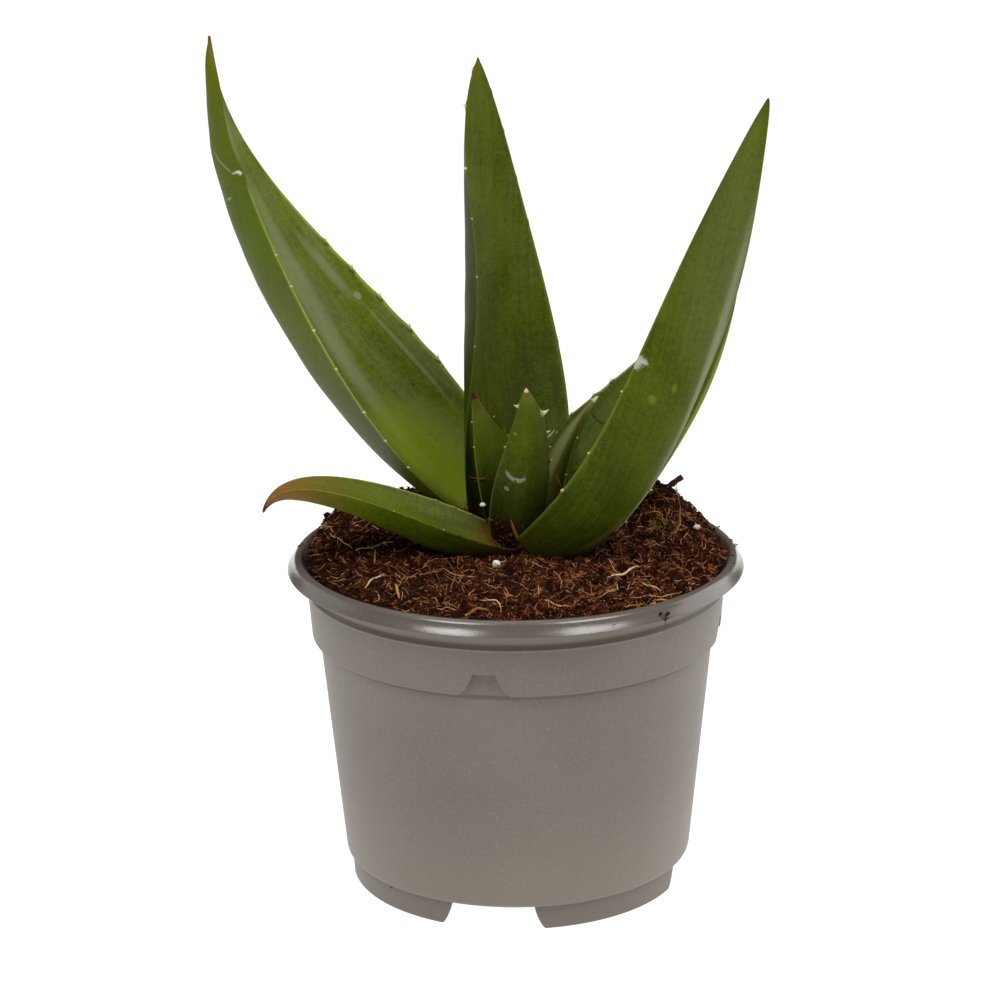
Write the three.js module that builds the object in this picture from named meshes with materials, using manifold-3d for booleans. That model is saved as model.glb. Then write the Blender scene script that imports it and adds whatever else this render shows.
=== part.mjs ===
// Potted aloe: a young rosette of eight toothed leaves on a short stem, rooted in a mound of soil
// that fills a 12 cm nursery pot. Millimetres, +Z up; the front of the plant faces -Y.
// Everything is laid out from the pot's axis, and the whole plant is centred at the very end.

import * as THREE from 'three';
import { mergeVertices } from 'three/addons/utils/BufferGeometryUtils.js';
import Module from 'manifold-3d';

// ---------------------------------------------------------------- driving dimensions

const GAP = 0.3; // air between two pieces that touch
const LEAF_GAP = 0.4; // a little more where one leaf is cut clear of another

// Pot: outside radii, and heights above the ground.
const WALL = 1.2;
const FOOT_RADIUS = 44.4;
const FOOT_WIDTH = 2.8;
const FOOT_HEIGHT = 6.5;
const BASE_RADIUS = 45.9;
const BASE_ROUNDING = 1.2;
const BODY_TOP_RADIUS = 51.9;
const BAND_BOTTOM = 67.2;
const BAND_BOTTOM_RADIUS = 53.9;
const BAND_TOP = 80.5;
const BAND_TOP_RADIUS = 54.9;
const NECK_RADIUS = 54.3;
const LIP_BOTTOM = 84;
const RIM_RADIUS = 60;
const RIM_TOP = 88.7;
const MOUTH_RADIUS = 56.1;
const LIP_ROUNDING = 1.4;
const EDGE_ROUNDING = 0.6; // the band's two edges
const POT_SIDES = 40;
const CURVE_STEPS = 2; // facets on each rounded edge

// Four notches in the band and four gaps between the feet share these directions,
// in degrees from the front, positive towards +X.
const QUARTERS = [-9, 81, 171, 261];
const NOTCH_HEIGHT = 6;
const NOTCH_TOP_WIDTH = 5.8;
const NOTCH_BOTTOM_WIDTH = 13.4;
const NOTCH_FLARE = 0.8; // how the notch's sides curve out at the bottom
const NOTCH_DEPTH_LEFT = 0.35; // what the notch leaves of the step between body and band
const BACKING_MARGIN = 2; // how far the wall behind a notch reaches past it
const FOOT_GAP_TOP_WIDTH = 21.5;
const FOOT_GAP_BOTTOM_WIDTH = 30;
const DRAIN_RADIUS = 4;
const DRAIN_CIRCLE = 35;
const DRAIN_SPREAD = 15; // degrees each side of a foot gap's middle
const DRAIN_SIDES = 10;

// Soil: its level at the wall, and the level inside it, which climbs from the front to the back
// between two distances from the axis. The shoulder at the wall is gentle in front, steep behind.
const SOIL_EDGE = 87.8;
const SOIL_FRONT = 90.8;
const SOIL_BACK = 95.3;
const SOIL_CLIMB = [-16, 14];
const SHOULDER_POWER = [3, 9];
const SHOULDER_CLIMB = [-30, 20];
const SOIL_HEAPS = [
  { at: [40, 28], height: 4, spread: 13 },
  { at: [-43, 20], height: 3.5, spread: 12 },
];
const SOIL_RINGS = 8;
const SOIL_SIDES = 40;
const CRUMBS = 34;
const CRUMB_SIZES = [1, 2.2];
const CRUMB_FLATNESS = [0.6, 1];
const CRUMB_MARGIN = 5; // crumbs stay this far from the wall
const CROWN_CLEARANCE = 27; // crumbs stay this far from the stem

// Stem, mostly hidden by the leaf bases.
const STEM_RADIUS = 4;
const STEM_TOP_RADIUS = 2.6;
const STEM_BOTTOM = 66;
const STEM_TOP = 98;

// Leaves. A leaf narrows towards its root over this share of its length, its section is a crescent
// whose back is this rounded, and both ends run out to a short point.
const NECK_SHARE = 0.12;
const BACK_ROUNDING = 2.4;
const THICKNESS_TAPER = 0.6;
const ROOT_POINT = 2.5;
const SPINE_POINT = 1;
const SPINE_HALF_WIDTH = 0.35;
const SPINE_THICKNESS = 0.8;
const TOOTH_RADIUS = 0.75;
const TOOTH_LENGTH = 2;
const TOOTH_ROOT = 0.7; // how deep a tooth is sunk into the leaf's edge
const TOOTH_LEAN = 0.7; // how far a tooth leans towards the leaf's tip
const TEETH_START = 0.14;
const TEETH_END = 0.93;
const TEETH_STAGGER = { left: 0.3, right: 0.75 }; // where the first tooth stands in its step

const STEM_SIDES = 12;
const LEAF_ROUGHNESS = 0.45;

const LEAF_GREEN = '#3c4f0c';
const YOUNG_GREEN = '#46591a';

// From the innermost leaf outwards. path holds the root, two handles and the tip of the line midway
// between the leaf's two edges; turn is the compass angle that its back faces, counted from +X
// towards +Y, as a value at the root, a handle and a value at the tip; cup is how deep the channel
// is against half the width.
const LEAVES = [
  {
    name: 'leaf_inner_right',
    path: [[4, 1, 90], [8.5, 3, 104], [9.5, 4, 116.5], [21.5, 6, 128.5]],
    width: 17, taper: 0.64, neck: 0.6, thickness: 4.5, cup: [0.45, 0.3], turn: [40, 40, 40],
    toothSpacing: 7, along: 12, around: 12, colour: YOUNG_GREEN,
  },
  {
    name: 'leaf_inner_left',
    path: [[-1.5, 1, 90], [-6, 2, 126], [-7, 1.5, 116.5], [-10.5, 2, 130.5]],
    width: 16, taper: 0.63, neck: 0.6, thickness: 4, cup: [0.45, 0.3], turn: [123, 123, 126],
    toothSpacing: 7, along: 12, around: 12, colour: YOUNG_GREEN,
  },
  {
    name: 'leaf_front_small',
    path: [[-1.5, -2, 90], [3, -5.5, 116], [4.5, -6, 120], [3, -8, 134.5]],
    width: 19, taper: 0.62, neck: 0.45, thickness: 5, cup: [0.45, 0.3], turn: [-80, -80, -80],
    toothSpacing: 7, along: 12, around: 12, colour: YOUNG_GREEN,
  },
  {
    name: 'leaf_right_rear',
    path: [[4, 3, 88], [28, 16, 118], [40, 17.5, 119.5], [59.5, 29.5, 159]],
    width: 41, taper: 0.58, neck: 0.46, thickness: 6.5, cup: [0.5, 0.35], turn: [75, 75, 60],
    toothSpacing: 9.5, along: 15, around: 14, colour: LEAF_GREEN,
  },
  {
    name: 'leaf_centre_tall',
    path: [[-1, 4.5, 88.5], [7, 17.5, 163], [-8, 27, 173], [-8.5, 30, 213.5]],
    width: 44, taper: 0.73, neck: 0.45, thickness: 6, cup: [0.71, 0.46], turn: [102, 190, 98],
    toothSpacing: 10.5, along: 18, around: 14, colour: LEAF_GREEN,
  },
  {
    name: 'leaf_right_tall',
    path: [[5.5, -4, 94.5], [35, -20, 120], [45, -28, 155], [62, -35, 213.5]],
    width: 33, taper: 0.59, neck: 0.61, thickness: 7, cup: [0.48, 0.36], turn: [-42, -42, -140],
    toothSpacing: 10.5, along: 18, around: 14, colour: LEAF_GREEN,
  },
  {
    name: 'leaf_left_tall',
    path: [[1.5, 8, 90], [-56, 28.5, 161], [-73.5, 20, 186], [-78.5, 36, 219]],
    width: 46, taper: 0.66, neck: 0.13, thickness: 7, cup: [1.09, 0.22], turn: [111, 177, 192],
    toothSpacing: 10.5, along: 20, around: 14, colour: LEAF_GREEN,
  },
  {
    name: 'leaf_low_left',
    path: [[2, -6.5, 92], [-26, -13, 105], [-59, -17.5, 122.5], [-65, -16, 105]],
    width: 24, taper: 0.64, neck: 0.2, thickness: 6, cup: [0.53, 0.3], turn: [170, 170, 185],
    toothSpacing: 7.5, along: 16, around: 12, colour: LEAF_GREEN,
  },
];

// Loose things on the soil, placed from the pot's axis.
const PERLITE = [
  { name: 'perlite_front', at: [-5, -19], size: 1.5 },
  { name: 'perlite_right', at: [48, 7], size: 1.5 },
];
const TWIG_FROM = [36.5, 31.5, 92.5];
const TWIG_TO = [45.5, 31, 99];
const TWIG_RADIUS = 1;
const TWIG_SIDES = 7;
const GRAIN_LIFT = 0.3; // how much of its size a grain stands above the soil's surface
const GRAIN_SHAPE = [1, 0.85, 0.8];
const SWELL = 1.4; // a faceted solid has to swell by more than the gap for its flats to clear it

// ---------------------------------------------------------------- solids

const wasm = await Module();
wasm.setup();

function merged(geometry) {
  const bare = geometry.clone();
  bare.deleteAttribute('normal');
  bare.deleteAttribute('uv');
  return mergeVertices(bare, 1e-4);
}

function solidOf(geometry) {
  const shell = merged(geometry);
  return new wasm.Manifold(new wasm.Mesh({
    numProp: 3,
    vertProperties: new Float32Array(shell.attributes.position.array),
    triVerts: new Uint32Array(shell.index.array),
  }));
}

// A cut can leave loose scraps, so only the largest body stays.
function largestBody(solid) {
  const bodies = solid.decompose();
  return bodies.reduce((best, body) => (body.volume() > best.volume() ? body : best));
}

function meshOf(name, solid, colour, roughness) {
  const { vertProperties, triVerts } = largestBody(solid).getMesh();
  const geometry = new THREE.BufferGeometry();
  geometry.setAttribute('position', new THREE.BufferAttribute(vertProperties, 3));
  geometry.setIndex(new THREE.BufferAttribute(triVerts, 1));
  geometry.computeVertexNormals();
  const material = new THREE.MeshStandardMaterial({ color: colour, roughness, metalness: 0 });
  const mesh = new THREE.Mesh(geometry, material);
  mesh.name = name;
  return mesh;
}

// The same numbers on every run, each between 0 and 1.
function seededRandom(seed) {
  let state = seed;
  return () => {
    state = (state * 1664525 + 1013904223) % 4294967296;
    return state / 4294967296;
  };
}

// A shape drawn in the X-Z plane, pushed out from radius "from" to radius "to" at a compass
// direction given in degrees from the front.
function radialPrism(outline, from, to, degrees) {
  const geometry = new THREE.ExtrudeGeometry(outline, { depth: to - from, bevelEnabled: false });
  geometry.rotateX(Math.PI / 2);
  geometry.translate(0, -from, 0);
  geometry.rotateZ(THREE.MathUtils.degToRad(degrees));
  return solidOf(geometry);
}

// ---------------------------------------------------------------- pot

function potWall() {
  const slope = (BODY_TOP_RADIUS - BASE_RADIUS) / (BAND_BOTTOM - FOOT_HEIGHT);
  const floor = FOOT_HEIGHT + WALL;
  const outline = new THREE.Path();
  // Up the outside: base, body, band, neck and rolled lip.
  outline.moveTo(0, FOOT_HEIGHT);
  outline.lineTo(BASE_RADIUS - BASE_ROUNDING, FOOT_HEIGHT);
  outline.quadraticCurveTo(BASE_RADIUS, FOOT_HEIGHT,
    BASE_RADIUS + slope * BASE_ROUNDING, FOOT_HEIGHT + BASE_ROUNDING);
  outline.lineTo(BODY_TOP_RADIUS, BAND_BOTTOM - EDGE_ROUNDING / 3);
  outline.lineTo(BAND_BOTTOM_RADIUS - EDGE_ROUNDING, BAND_BOTTOM);
  outline.lineTo(BAND_BOTTOM_RADIUS, BAND_BOTTOM + EDGE_ROUNDING);
  outline.lineTo(BAND_TOP_RADIUS, BAND_TOP);
  outline.lineTo(NECK_RADIUS, BAND_TOP + EDGE_ROUNDING);
  outline.lineTo(NECK_RADIUS, LIP_BOTTOM - EDGE_ROUNDING);
  outline.lineTo(RIM_RADIUS - EDGE_ROUNDING, LIP_BOTTOM);
  outline.quadraticCurveTo(RIM_RADIUS, LIP_BOTTOM, RIM_RADIUS, LIP_BOTTOM + LIP_ROUNDING);
  outline.quadraticCurveTo(RIM_RADIUS, RIM_TOP, MOUTH_RADIUS + LIP_ROUNDING, RIM_TOP);
  outline.quadraticCurveTo(MOUTH_RADIUS, RIM_TOP, MOUTH_RADIUS, RIM_TOP - EDGE_ROUNDING);
  // Down the inside, one wall thinner, to the flat floor.
  outline.lineTo(NECK_RADIUS - WALL, LIP_BOTTOM - EDGE_ROUNDING);
  outline.lineTo(NECK_RADIUS - WALL, BAND_TOP);
  outline.lineTo(BAND_BOTTOM_RADIUS - WALL, BAND_BOTTOM + WALL);
  outline.lineTo(BODY_TOP_RADIUS - WALL, BAND_BOTTOM);
  outline.lineTo(BASE_RADIUS - WALL, floor + BASE_ROUNDING);
  outline.lineTo(BASE_RADIUS - WALL - BASE_ROUNDING, floor);
  outline.lineTo(0, floor);
  const profile = outline.getPoints(CURVE_STEPS);
  return solidOf(new THREE.LatheGeometry(profile, POT_SIDES).rotateX(Math.PI / 2));
}

// A low ring under the base, which the gaps cut into four feet.
function footRing() {
  const inner = FOOT_RADIUS - FOOT_WIDTH;
  const sunk = FOOT_HEIGHT + WALL / 3;
  const profile = [
    [inner, 0],
    [FOOT_RADIUS - EDGE_ROUNDING, 0],
    [FOOT_RADIUS, EDGE_ROUNDING],
    [FOOT_RADIUS, sunk],
    [inner, sunk],
    [inner, 0],
  ].map(([radius, height]) => new THREE.Vector2(radius, height));
  return solidOf(new THREE.LatheGeometry(profile, POT_SIDES).rotateX(Math.PI / 2));
}

// A gap with flared, rounded sides, as wide at the ground as FOOT_GAP_BOTTOM_WIDTH.
function footGap(degrees) {
  const top = FOOT_GAP_TOP_WIDTH / 2;
  const bottom = FOOT_GAP_BOTTOM_WIDTH / 2;
  const bend = (top + bottom) / 2 - 1;
  const outline = new THREE.Shape();
  outline.moveTo(-bottom, -1);
  outline.quadraticCurveTo(-bend, EDGE_ROUNDING, -top, FOOT_HEIGHT);
  outline.lineTo(top, FOOT_HEIGHT);
  outline.quadraticCurveTo(bend, EDGE_ROUNDING, bottom, -1);
  outline.closePath();
  return radialPrism(outline, FOOT_RADIUS - 5 * FOOT_WIDTH, FOOT_RADIUS + FOOT_WIDTH, degrees);
}

// A notch with a flat top, whose sides curve out towards the band's lower edge.
function bandNotch(degrees) {
  const top = NOTCH_TOP_WIDTH / 2;
  const bottom = NOTCH_BOTTOM_WIDTH / 2;
  const edge = BAND_BOTTOM - WALL / 10;
  const outline = new THREE.Shape();
  outline.moveTo(-bottom, edge - WALL);
  outline.lineTo(-bottom, edge);
  outline.quadraticCurveTo(-top - NOTCH_FLARE, BAND_BOTTOM + NOTCH_FLARE, -top, BAND_BOTTOM + NOTCH_HEIGHT);
  outline.lineTo(top, BAND_BOTTOM + NOTCH_HEIGHT);
  outline.quadraticCurveTo(top + NOTCH_FLARE, BAND_BOTTOM + NOTCH_FLARE, bottom, edge);
  outline.lineTo(bottom, edge - WALL);
  outline.closePath();
  return radialPrism(outline, BODY_TOP_RADIUS + NOTCH_DEPTH_LEFT, RIM_RADIUS, degrees);
}

// The wall steps inwards behind each notch, so that the notch doesn't open into the pot.
// grow swells the step, to cut the soil clear of it.
function notchBacking(degrees, grow) {
  const half = NOTCH_BOTTOM_WIDTH / 2 + BACKING_MARGIN + grow;
  const bottom = BAND_BOTTOM - BACKING_MARGIN / 3 - grow;
  const top = BAND_BOTTOM + NOTCH_HEIGHT + BACKING_MARGIN / 2 + grow;
  const outline = new THREE.Shape();
  outline.moveTo(-half, bottom);
  outline.lineTo(half, bottom);
  outline.lineTo(half, top);
  outline.lineTo(-half, top);
  outline.closePath();
  return radialPrism(outline, BODY_TOP_RADIUS - WALL - grow, BAND_BOTTOM_RADIUS - WALL / 2, degrees);
}

function drainHole(degrees) {
  const bore = new THREE.CylinderGeometry(DRAIN_RADIUS, DRAIN_RADIUS, 4 * WALL, DRAIN_SIDES);
  bore.rotateX(Math.PI / 2);
  bore.translate(0, -DRAIN_CIRCLE, FOOT_HEIGHT + WALL / 2);
  bore.rotateZ(THREE.MathUtils.degToRad(degrees));
  return solidOf(bore);
}

function potSolid() {
  let feet = footRing();
  for (const degrees of QUARTERS) feet = feet.subtract(footGap(degrees));
  let pot = potWall().add(feet);
  for (const degrees of QUARTERS) {
    pot = pot.add(notchBacking(degrees, 0)).subtract(bandNotch(degrees));
    pot = pot.subtract(drainHole(degrees - DRAIN_SPREAD)).subtract(drainHole(degrees + DRAIN_SPREAD));
  }
  return pot;
}

// ---------------------------------------------------------------- leaves

// Where the leaf is, which way it faces and how wide it is, at a share t of its length.
function leafStation(leaf, t) {
  const spine = new THREE.CubicBezierCurve3(...leaf.path.map((point) => new THREE.Vector3(...point)));
  const along = spine.getTangent(t);
  const rest = 1 - t;
  const [rootTurn, handleTurn, tipTurn] = leaf.turn.map(THREE.MathUtils.degToRad);
  const turn = rootTurn * rest * rest + handleTurn * 2 * rest * t + tipTurn * t * t;
  const across = new THREE.Vector3(-Math.sin(turn), Math.cos(turn), 0);
  across.addScaledVector(along, -across.dot(along)).normalize();
  const neck = 1 - (1 - leaf.neck) * Math.exp(-t / NECK_SHARE);
  const halfWidth = Math.max(leaf.width / 2 * Math.pow(1 - t, leaf.taper) * neck, SPINE_HALF_WIDTH);
  return {
    centre: spine.getPoint(t),
    along,
    across,
    inwards: new THREE.Vector3().crossVectors(along, across),
    halfWidth,
    thickness: Math.max(leaf.thickness * Math.pow(1 - t, THICKNESS_TAPER), SPINE_THICKNESS),
    channel: THREE.MathUtils.lerp(leaf.cup[0], leaf.cup[1], t) * halfWidth,
  };
}

// A point of the crescent section: side runs from -1 to 1 between the leaf's edges.
function sectionPoint(station, side, onBack) {
  const { centre, across, inwards, halfWidth, thickness, channel } = station;
  const body = onBack ? thickness * (1 - Math.pow(Math.abs(side), BACK_ROUNDING)) : 0;
  return centre.clone()
    .addScaledVector(across, side * halfWidth)
    .addScaledVector(inwards, -channel * (1 - side * side) - body);
}

// A closed cylinder is drawn out into the leaf: its axis follows the spine, each ring becomes the
// crescent section, and the middle of each cap is pulled out into a point.
function bladeGeometry(leaf) {
  const geometry = merged(new THREE.CylinderGeometry(1, 1, 1, leaf.around, leaf.along));
  const position = geometry.attributes.position;
  const corner = new THREE.Vector3();
  for (let i = 0; i < position.count; i += 1) {
    corner.fromBufferAttribute(position, i);
    const t = corner.y + 0.5;
    const station = leafStation(leaf, t);
    if (Math.hypot(corner.x, corner.z) < 0.5) {
      const middle = sectionPoint(station, 0, false).add(sectionPoint(station, 0, true)).divideScalar(2);
      middle.addScaledVector(station.along, t < 0.5 ? -ROOT_POINT : SPINE_POINT);
      position.setXYZ(i, middle.x, middle.y, middle.z);
    } else {
      const place = sectionPoint(station, corner.x, corner.z > 1e-6);
      position.setXYZ(i, place.x, place.y, place.z);
    }
  }
  return geometry;
}

function toothGeometry(leaf, t, side, grow) {
  const station = leafStation(leaf, t);
  const direction = station.across.clone().multiplyScalar(side)
    .addScaledVector(station.along, TOOTH_LEAN).normalize();
  const length = TOOTH_LENGTH + TOOTH_ROOT + 2 * grow;
  const tooth = new THREE.ConeGeometry(TOOTH_RADIUS + grow, length, 3);
  tooth.translate(0, length / 2 - TOOTH_ROOT - grow, 0);
  tooth.applyQuaternion(new THREE.Quaternion().setFromUnitVectors(new THREE.Vector3(0, 1, 0), direction));
  const root = sectionPoint(station, side, false);
  return tooth.translate(root.x, root.y, root.z);
}

// grow swells the whole leaf, to cut its neighbours clear of it.
function leafSolid(leaf, grow) {
  const blade = bladeGeometry(leaf);
  if (grow > 0) {
    blade.computeVertexNormals();
    const { position, normal } = blade.attributes;
    for (let i = 0; i < position.count; i += 1) {
      position.setXYZ(i, position.getX(i) + grow * normal.getX(i),
        position.getY(i) + grow * normal.getY(i), position.getZ(i) + grow * normal.getZ(i));
    }
  }
  let solid = solidOf(blade);
  const length = new THREE.CubicBezierCurve3(
    ...leaf.path.map((point) => new THREE.Vector3(...point))).getLength();
  const teeth = Math.round(length * (TEETH_END - TEETH_START) / leaf.toothSpacing);
  for (const side of [-1, 1]) {
    for (let i = 0; i < teeth; i += 1) {
      const step = (i + (side > 0 ? TEETH_STAGGER.right : TEETH_STAGGER.left)) / teeth;
      const t = TEETH_START + (TEETH_END - TEETH_START) * step;
      solid = solid.add(solidOf(toothGeometry(leaf, t, side, grow)));
    }
  }
  return solid;
}

function stemSolid(grow) {
  const profile = [
    [0, STEM_BOTTOM - grow],
    [STEM_RADIUS + grow, STEM_BOTTOM - grow],
    [STEM_RADIUS + grow, SOIL_EDGE],
    [STEM_TOP_RADIUS + grow, STEM_TOP - 1],
    [STEM_TOP_RADIUS / 2, STEM_TOP + grow],
    [0, STEM_TOP + grow],
  ].map(([radius, height]) => new THREE.Vector2(radius, height));
  return solidOf(new THREE.LatheGeometry(profile, STEM_SIDES).rotateX(Math.PI / 2));
}

// ---------------------------------------------------------------- soil

// Three crossing waves, under a millimetre high, that keep the surface uneven.
function soilRipple(x, y) {
  return 0.5 * Math.sin(0.31 * x + 1.3) * Math.cos(0.27 * y)
    + 0.35 * Math.sin(0.63 * x + 0.48 * y) + 0.25 * Math.cos(0.9 * y - 0.55 * x);
}

function soilHeight(x, y) {
  const { lerp, smoothstep } = THREE.MathUtils;
  const level = lerp(SOIL_FRONT, SOIL_BACK, smoothstep(y, ...SOIL_CLIMB));
  const power = lerp(...SHOULDER_POWER, smoothstep(y, ...SHOULDER_CLIMB));
  let height = lerp(level, SOIL_EDGE, Math.pow(Math.hypot(x, y) / BAND_TOP_RADIUS, power));
  for (const heap of SOIL_HEAPS) {
    const distance = Math.hypot(x - heap.at[0], y - heap.at[1]) / heap.spread;
    height += heap.height * Math.exp(-distance * distance);
  }
  return height + soilRipple(x, y);
}

// A plug that fills the pot one GAP clear of its wall; its flat top is then lifted to the surface.
function soilBody() {
  const clear = WALL + GAP;
  const top = NECK_RADIUS - clear;
  const profile = [
    [0, FOOT_HEIGHT + clear],
    [BASE_RADIUS - clear - BASE_ROUNDING, FOOT_HEIGHT + clear],
    [BASE_RADIUS - clear, FOOT_HEIGHT + clear + BASE_ROUNDING],
    [BODY_TOP_RADIUS - clear, BAND_BOTTOM],
    [BAND_BOTTOM_RADIUS - clear, BAND_BOTTOM + clear + GAP],
    [top, BAND_TOP],
    [top, SOIL_EDGE],
  ];
  for (let ring = SOIL_RINGS - 1; ring >= 0; ring -= 1) {
    profile.push([top * ring / SOIL_RINGS, SOIL_EDGE]);
  }
  const points = profile.map(([radius, height]) => new THREE.Vector2(radius, height));
  const geometry = new THREE.LatheGeometry(points, SOIL_SIDES).rotateX(Math.PI / 2);
  const position = geometry.attributes.position;
  for (let i = 0; i < position.count; i += 1) {
    if (position.getZ(i) > BAND_TOP + 1) {
      position.setZ(i, soilHeight(position.getX(i), position.getY(i)));
    }
  }
  return solidOf(geometry);
}

function crumb(x, y, size, random) {
  const geometry = new THREE.OctahedronGeometry(size, 0);
  geometry.scale(1, THREE.MathUtils.lerp(...CRUMB_FLATNESS, random()), CRUMB_FLATNESS[0]);
  geometry.rotateZ(2 * Math.PI * random());
  geometry.translate(x, y, soilHeight(x, y));
  return solidOf(geometry);
}

function soilSolid() {
  const random = seededRandom(7);
  let soil = soilBody();
  for (let i = 0; i < CRUMBS; i += 1) {
    const angle = 2 * Math.PI * random();
    const distance = CROWN_CLEARANCE + (NECK_RADIUS - CRUMB_MARGIN - CROWN_CLEARANCE) * Math.sqrt(random());
    const size = THREE.MathUtils.lerp(...CRUMB_SIZES, random());
    soil = soil.add(crumb(distance * Math.cos(angle), distance * Math.sin(angle), size, random));
  }
  for (const degrees of QUARTERS) soil = soil.subtract(notchBacking(degrees, GAP));
  return soil;
}

function grainSolid(grain, grow) {
  const [x, y] = grain.at;
  const geometry = new THREE.IcosahedronGeometry(grain.size + SWELL * grow, 0);
  geometry.scale(...GRAIN_SHAPE);
  geometry.translate(x, y, soilHeight(x, y) + GRAIN_LIFT * grain.size);
  return solidOf(geometry);
}

function twigSolid(grow) {
  const from = new THREE.Vector3(...TWIG_FROM);
  const to = new THREE.Vector3(...TWIG_TO);
  const direction = to.clone().sub(from);
  const length = direction.length() + 2 * grow;
  const radius = TWIG_RADIUS + SWELL * grow;
  const geometry = new THREE.CylinderGeometry(radius, radius, length, TWIG_SIDES);
  geometry.applyQuaternion(new THREE.Quaternion()
    .setFromUnitVectors(new THREE.Vector3(0, 1, 0), direction.normalize()));
  const middle = from.add(to).divideScalar(2);
  return solidOf(geometry.translate(middle.x, middle.y, middle.z));
}

// ---------------------------------------------------------------- assembly

function plantParts() {
  const parts = new THREE.Group();
  let soil = soilSolid().subtract(stemSolid(GAP));
  let taken = stemSolid(GAP);
  for (const leaf of LEAVES) {
    const blade = largestBody(leafSolid(leaf, 0).subtract(taken));
    const swollen = leafSolid(leaf, LEAF_GAP).add(leafSolid(leaf, 0));
    taken = taken.add(swollen);
    soil = soil.subtract(swollen);
    parts.add(meshOf(leaf.name, blade, leaf.colour, LEAF_ROUGHNESS));
  }
  for (const grain of PERLITE) {
    soil = soil.subtract(grainSolid(grain, GAP));
    parts.add(meshOf(grain.name, grainSolid(grain, 0), '#e8e4da', 0.9));
  }
  soil = soil.subtract(twigSolid(GAP));
  parts.add(meshOf('bark_twig', twigSolid(0), '#3a1d10', 0.95));
  parts.add(meshOf('stem', stemSolid(0), '#7b7a3a', 0.7));
  parts.add(meshOf('soil', soil, '#3b2015', 1));
  parts.add(meshOf('pot', potSolid(), '#6c655d', 0.5));
  return parts;
}

const plant = plantParts();
const reach = new THREE.Box3().setFromObject(plant);
plant.position.set(-(reach.min.x + reach.max.x) / 2, -(reach.min.y + reach.max.y) / 2, 0);

const pottedAloe = new THREE.Group();
pottedAloe.add(plant);

export default pottedAloe;
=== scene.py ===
"""A young aloe in a 12 cm nursery pot: eight toothed leaves on a short stem, rooted in coir.

Sizes are millimetres from the pot's axis unless a name says otherwise. Meshes are made in metres,
in the frame's own axes: +Z up, with the front of the plant facing -Y.
"""

import logging
import math
import random
from dataclasses import dataclass, field
from enum import Enum
from typing import Iterable, Iterator, Sequence

import bmesh
import bpy
from mathutils import Matrix, Vector, noise


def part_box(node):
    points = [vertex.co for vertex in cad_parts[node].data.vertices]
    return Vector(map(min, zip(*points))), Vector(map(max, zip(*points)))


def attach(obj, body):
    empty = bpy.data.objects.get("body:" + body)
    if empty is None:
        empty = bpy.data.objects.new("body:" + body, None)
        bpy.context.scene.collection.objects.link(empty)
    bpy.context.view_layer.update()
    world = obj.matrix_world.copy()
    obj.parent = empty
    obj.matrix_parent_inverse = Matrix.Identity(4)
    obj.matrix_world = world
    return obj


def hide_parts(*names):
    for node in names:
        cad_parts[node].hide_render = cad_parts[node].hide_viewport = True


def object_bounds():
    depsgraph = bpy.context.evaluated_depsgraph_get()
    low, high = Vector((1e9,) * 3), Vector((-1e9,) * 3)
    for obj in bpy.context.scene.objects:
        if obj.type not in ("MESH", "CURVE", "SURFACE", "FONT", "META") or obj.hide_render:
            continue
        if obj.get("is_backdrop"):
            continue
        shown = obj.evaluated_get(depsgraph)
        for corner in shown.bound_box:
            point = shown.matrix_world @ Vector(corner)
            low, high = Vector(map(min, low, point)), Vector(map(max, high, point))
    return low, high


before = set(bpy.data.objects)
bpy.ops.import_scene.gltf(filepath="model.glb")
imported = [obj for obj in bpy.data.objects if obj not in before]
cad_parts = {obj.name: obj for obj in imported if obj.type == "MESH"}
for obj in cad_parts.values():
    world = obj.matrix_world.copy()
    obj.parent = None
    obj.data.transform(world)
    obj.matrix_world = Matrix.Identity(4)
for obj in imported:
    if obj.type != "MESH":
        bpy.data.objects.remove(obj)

LOG = logging.getLogger("potted_aloe")
CAD_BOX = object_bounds()
MM = 0.001
UP = Vector((0.0, 0.0, 1.0))
Spot = tuple[float, float, float]
Pair = tuple[float, float]
Colour = str  # a web colour code, such as "#364203"


def pot_axis() -> Vector:
    """Return the point on the ground, in metres, that the pot's axis stands on."""
    low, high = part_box("pot")
    return Vector(((low[0] + high[0]) / 2, (low[1] + high[1]) / 2, 0.0))


AXIS = pot_axis()


def placed(point: Vector) -> Vector:
    """Return a point in the frame, in metres, from one in millimetres from the pot's axis."""
    return AXIS + point * MM


def lerp(low: float, high: float, share: float) -> float:
    """Return the value a share of the way from low to high."""
    return low + (high - low) * share


def smoothstep(value: float, low: float, high: float) -> float:
    """Return 0 below low, 1 above high and an eased value between them."""
    share = min(max((value - low) / (high - low), 0.0), 1.0)
    return share * share * (3 - 2 * share)


def bell(distance: float, spread: float) -> float:
    """Return 1 at no distance, falling smoothly towards 0 past the spread."""
    return math.exp(-(distance / spread) ** 2)


def bent(start: Vector | float, bend: Vector | float, end: Vector | float,
         share: float) -> Vector | float:
    """Return the value a share of the way along a curve from start to end, drawn towards bend."""
    rest = 1 - share
    return start * rest ** 2 + bend * 2 * rest * share + end * share ** 2


def srgb(code: Colour) -> Spot:
    """Return the linear colour of a web colour code.

    Args:
        code: Six hexadecimal digits after a hash sign.

    Returns:
        Red, green and blue as Blender's materials take them.
    """
    parts = [int(code[start:start + 2], 16) / 255 for start in (1, 3, 5)]
    return tuple(part / 12.92 if part <= 0.04045 else ((part + 0.055) / 1.055) ** 2.4 for part in parts)


# ---------------------------------------------------------------- materials


class Slot(Enum):
    """Names of the material slots that the finishes belong to."""

    LEAF = "leaf"
    YOUNG_LEAF = "young_leaf"
    STEM = "stem"
    SOIL = "soil"
    PERLITE = "perlite"
    BARK = "bark"
    POT = "pot"


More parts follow.
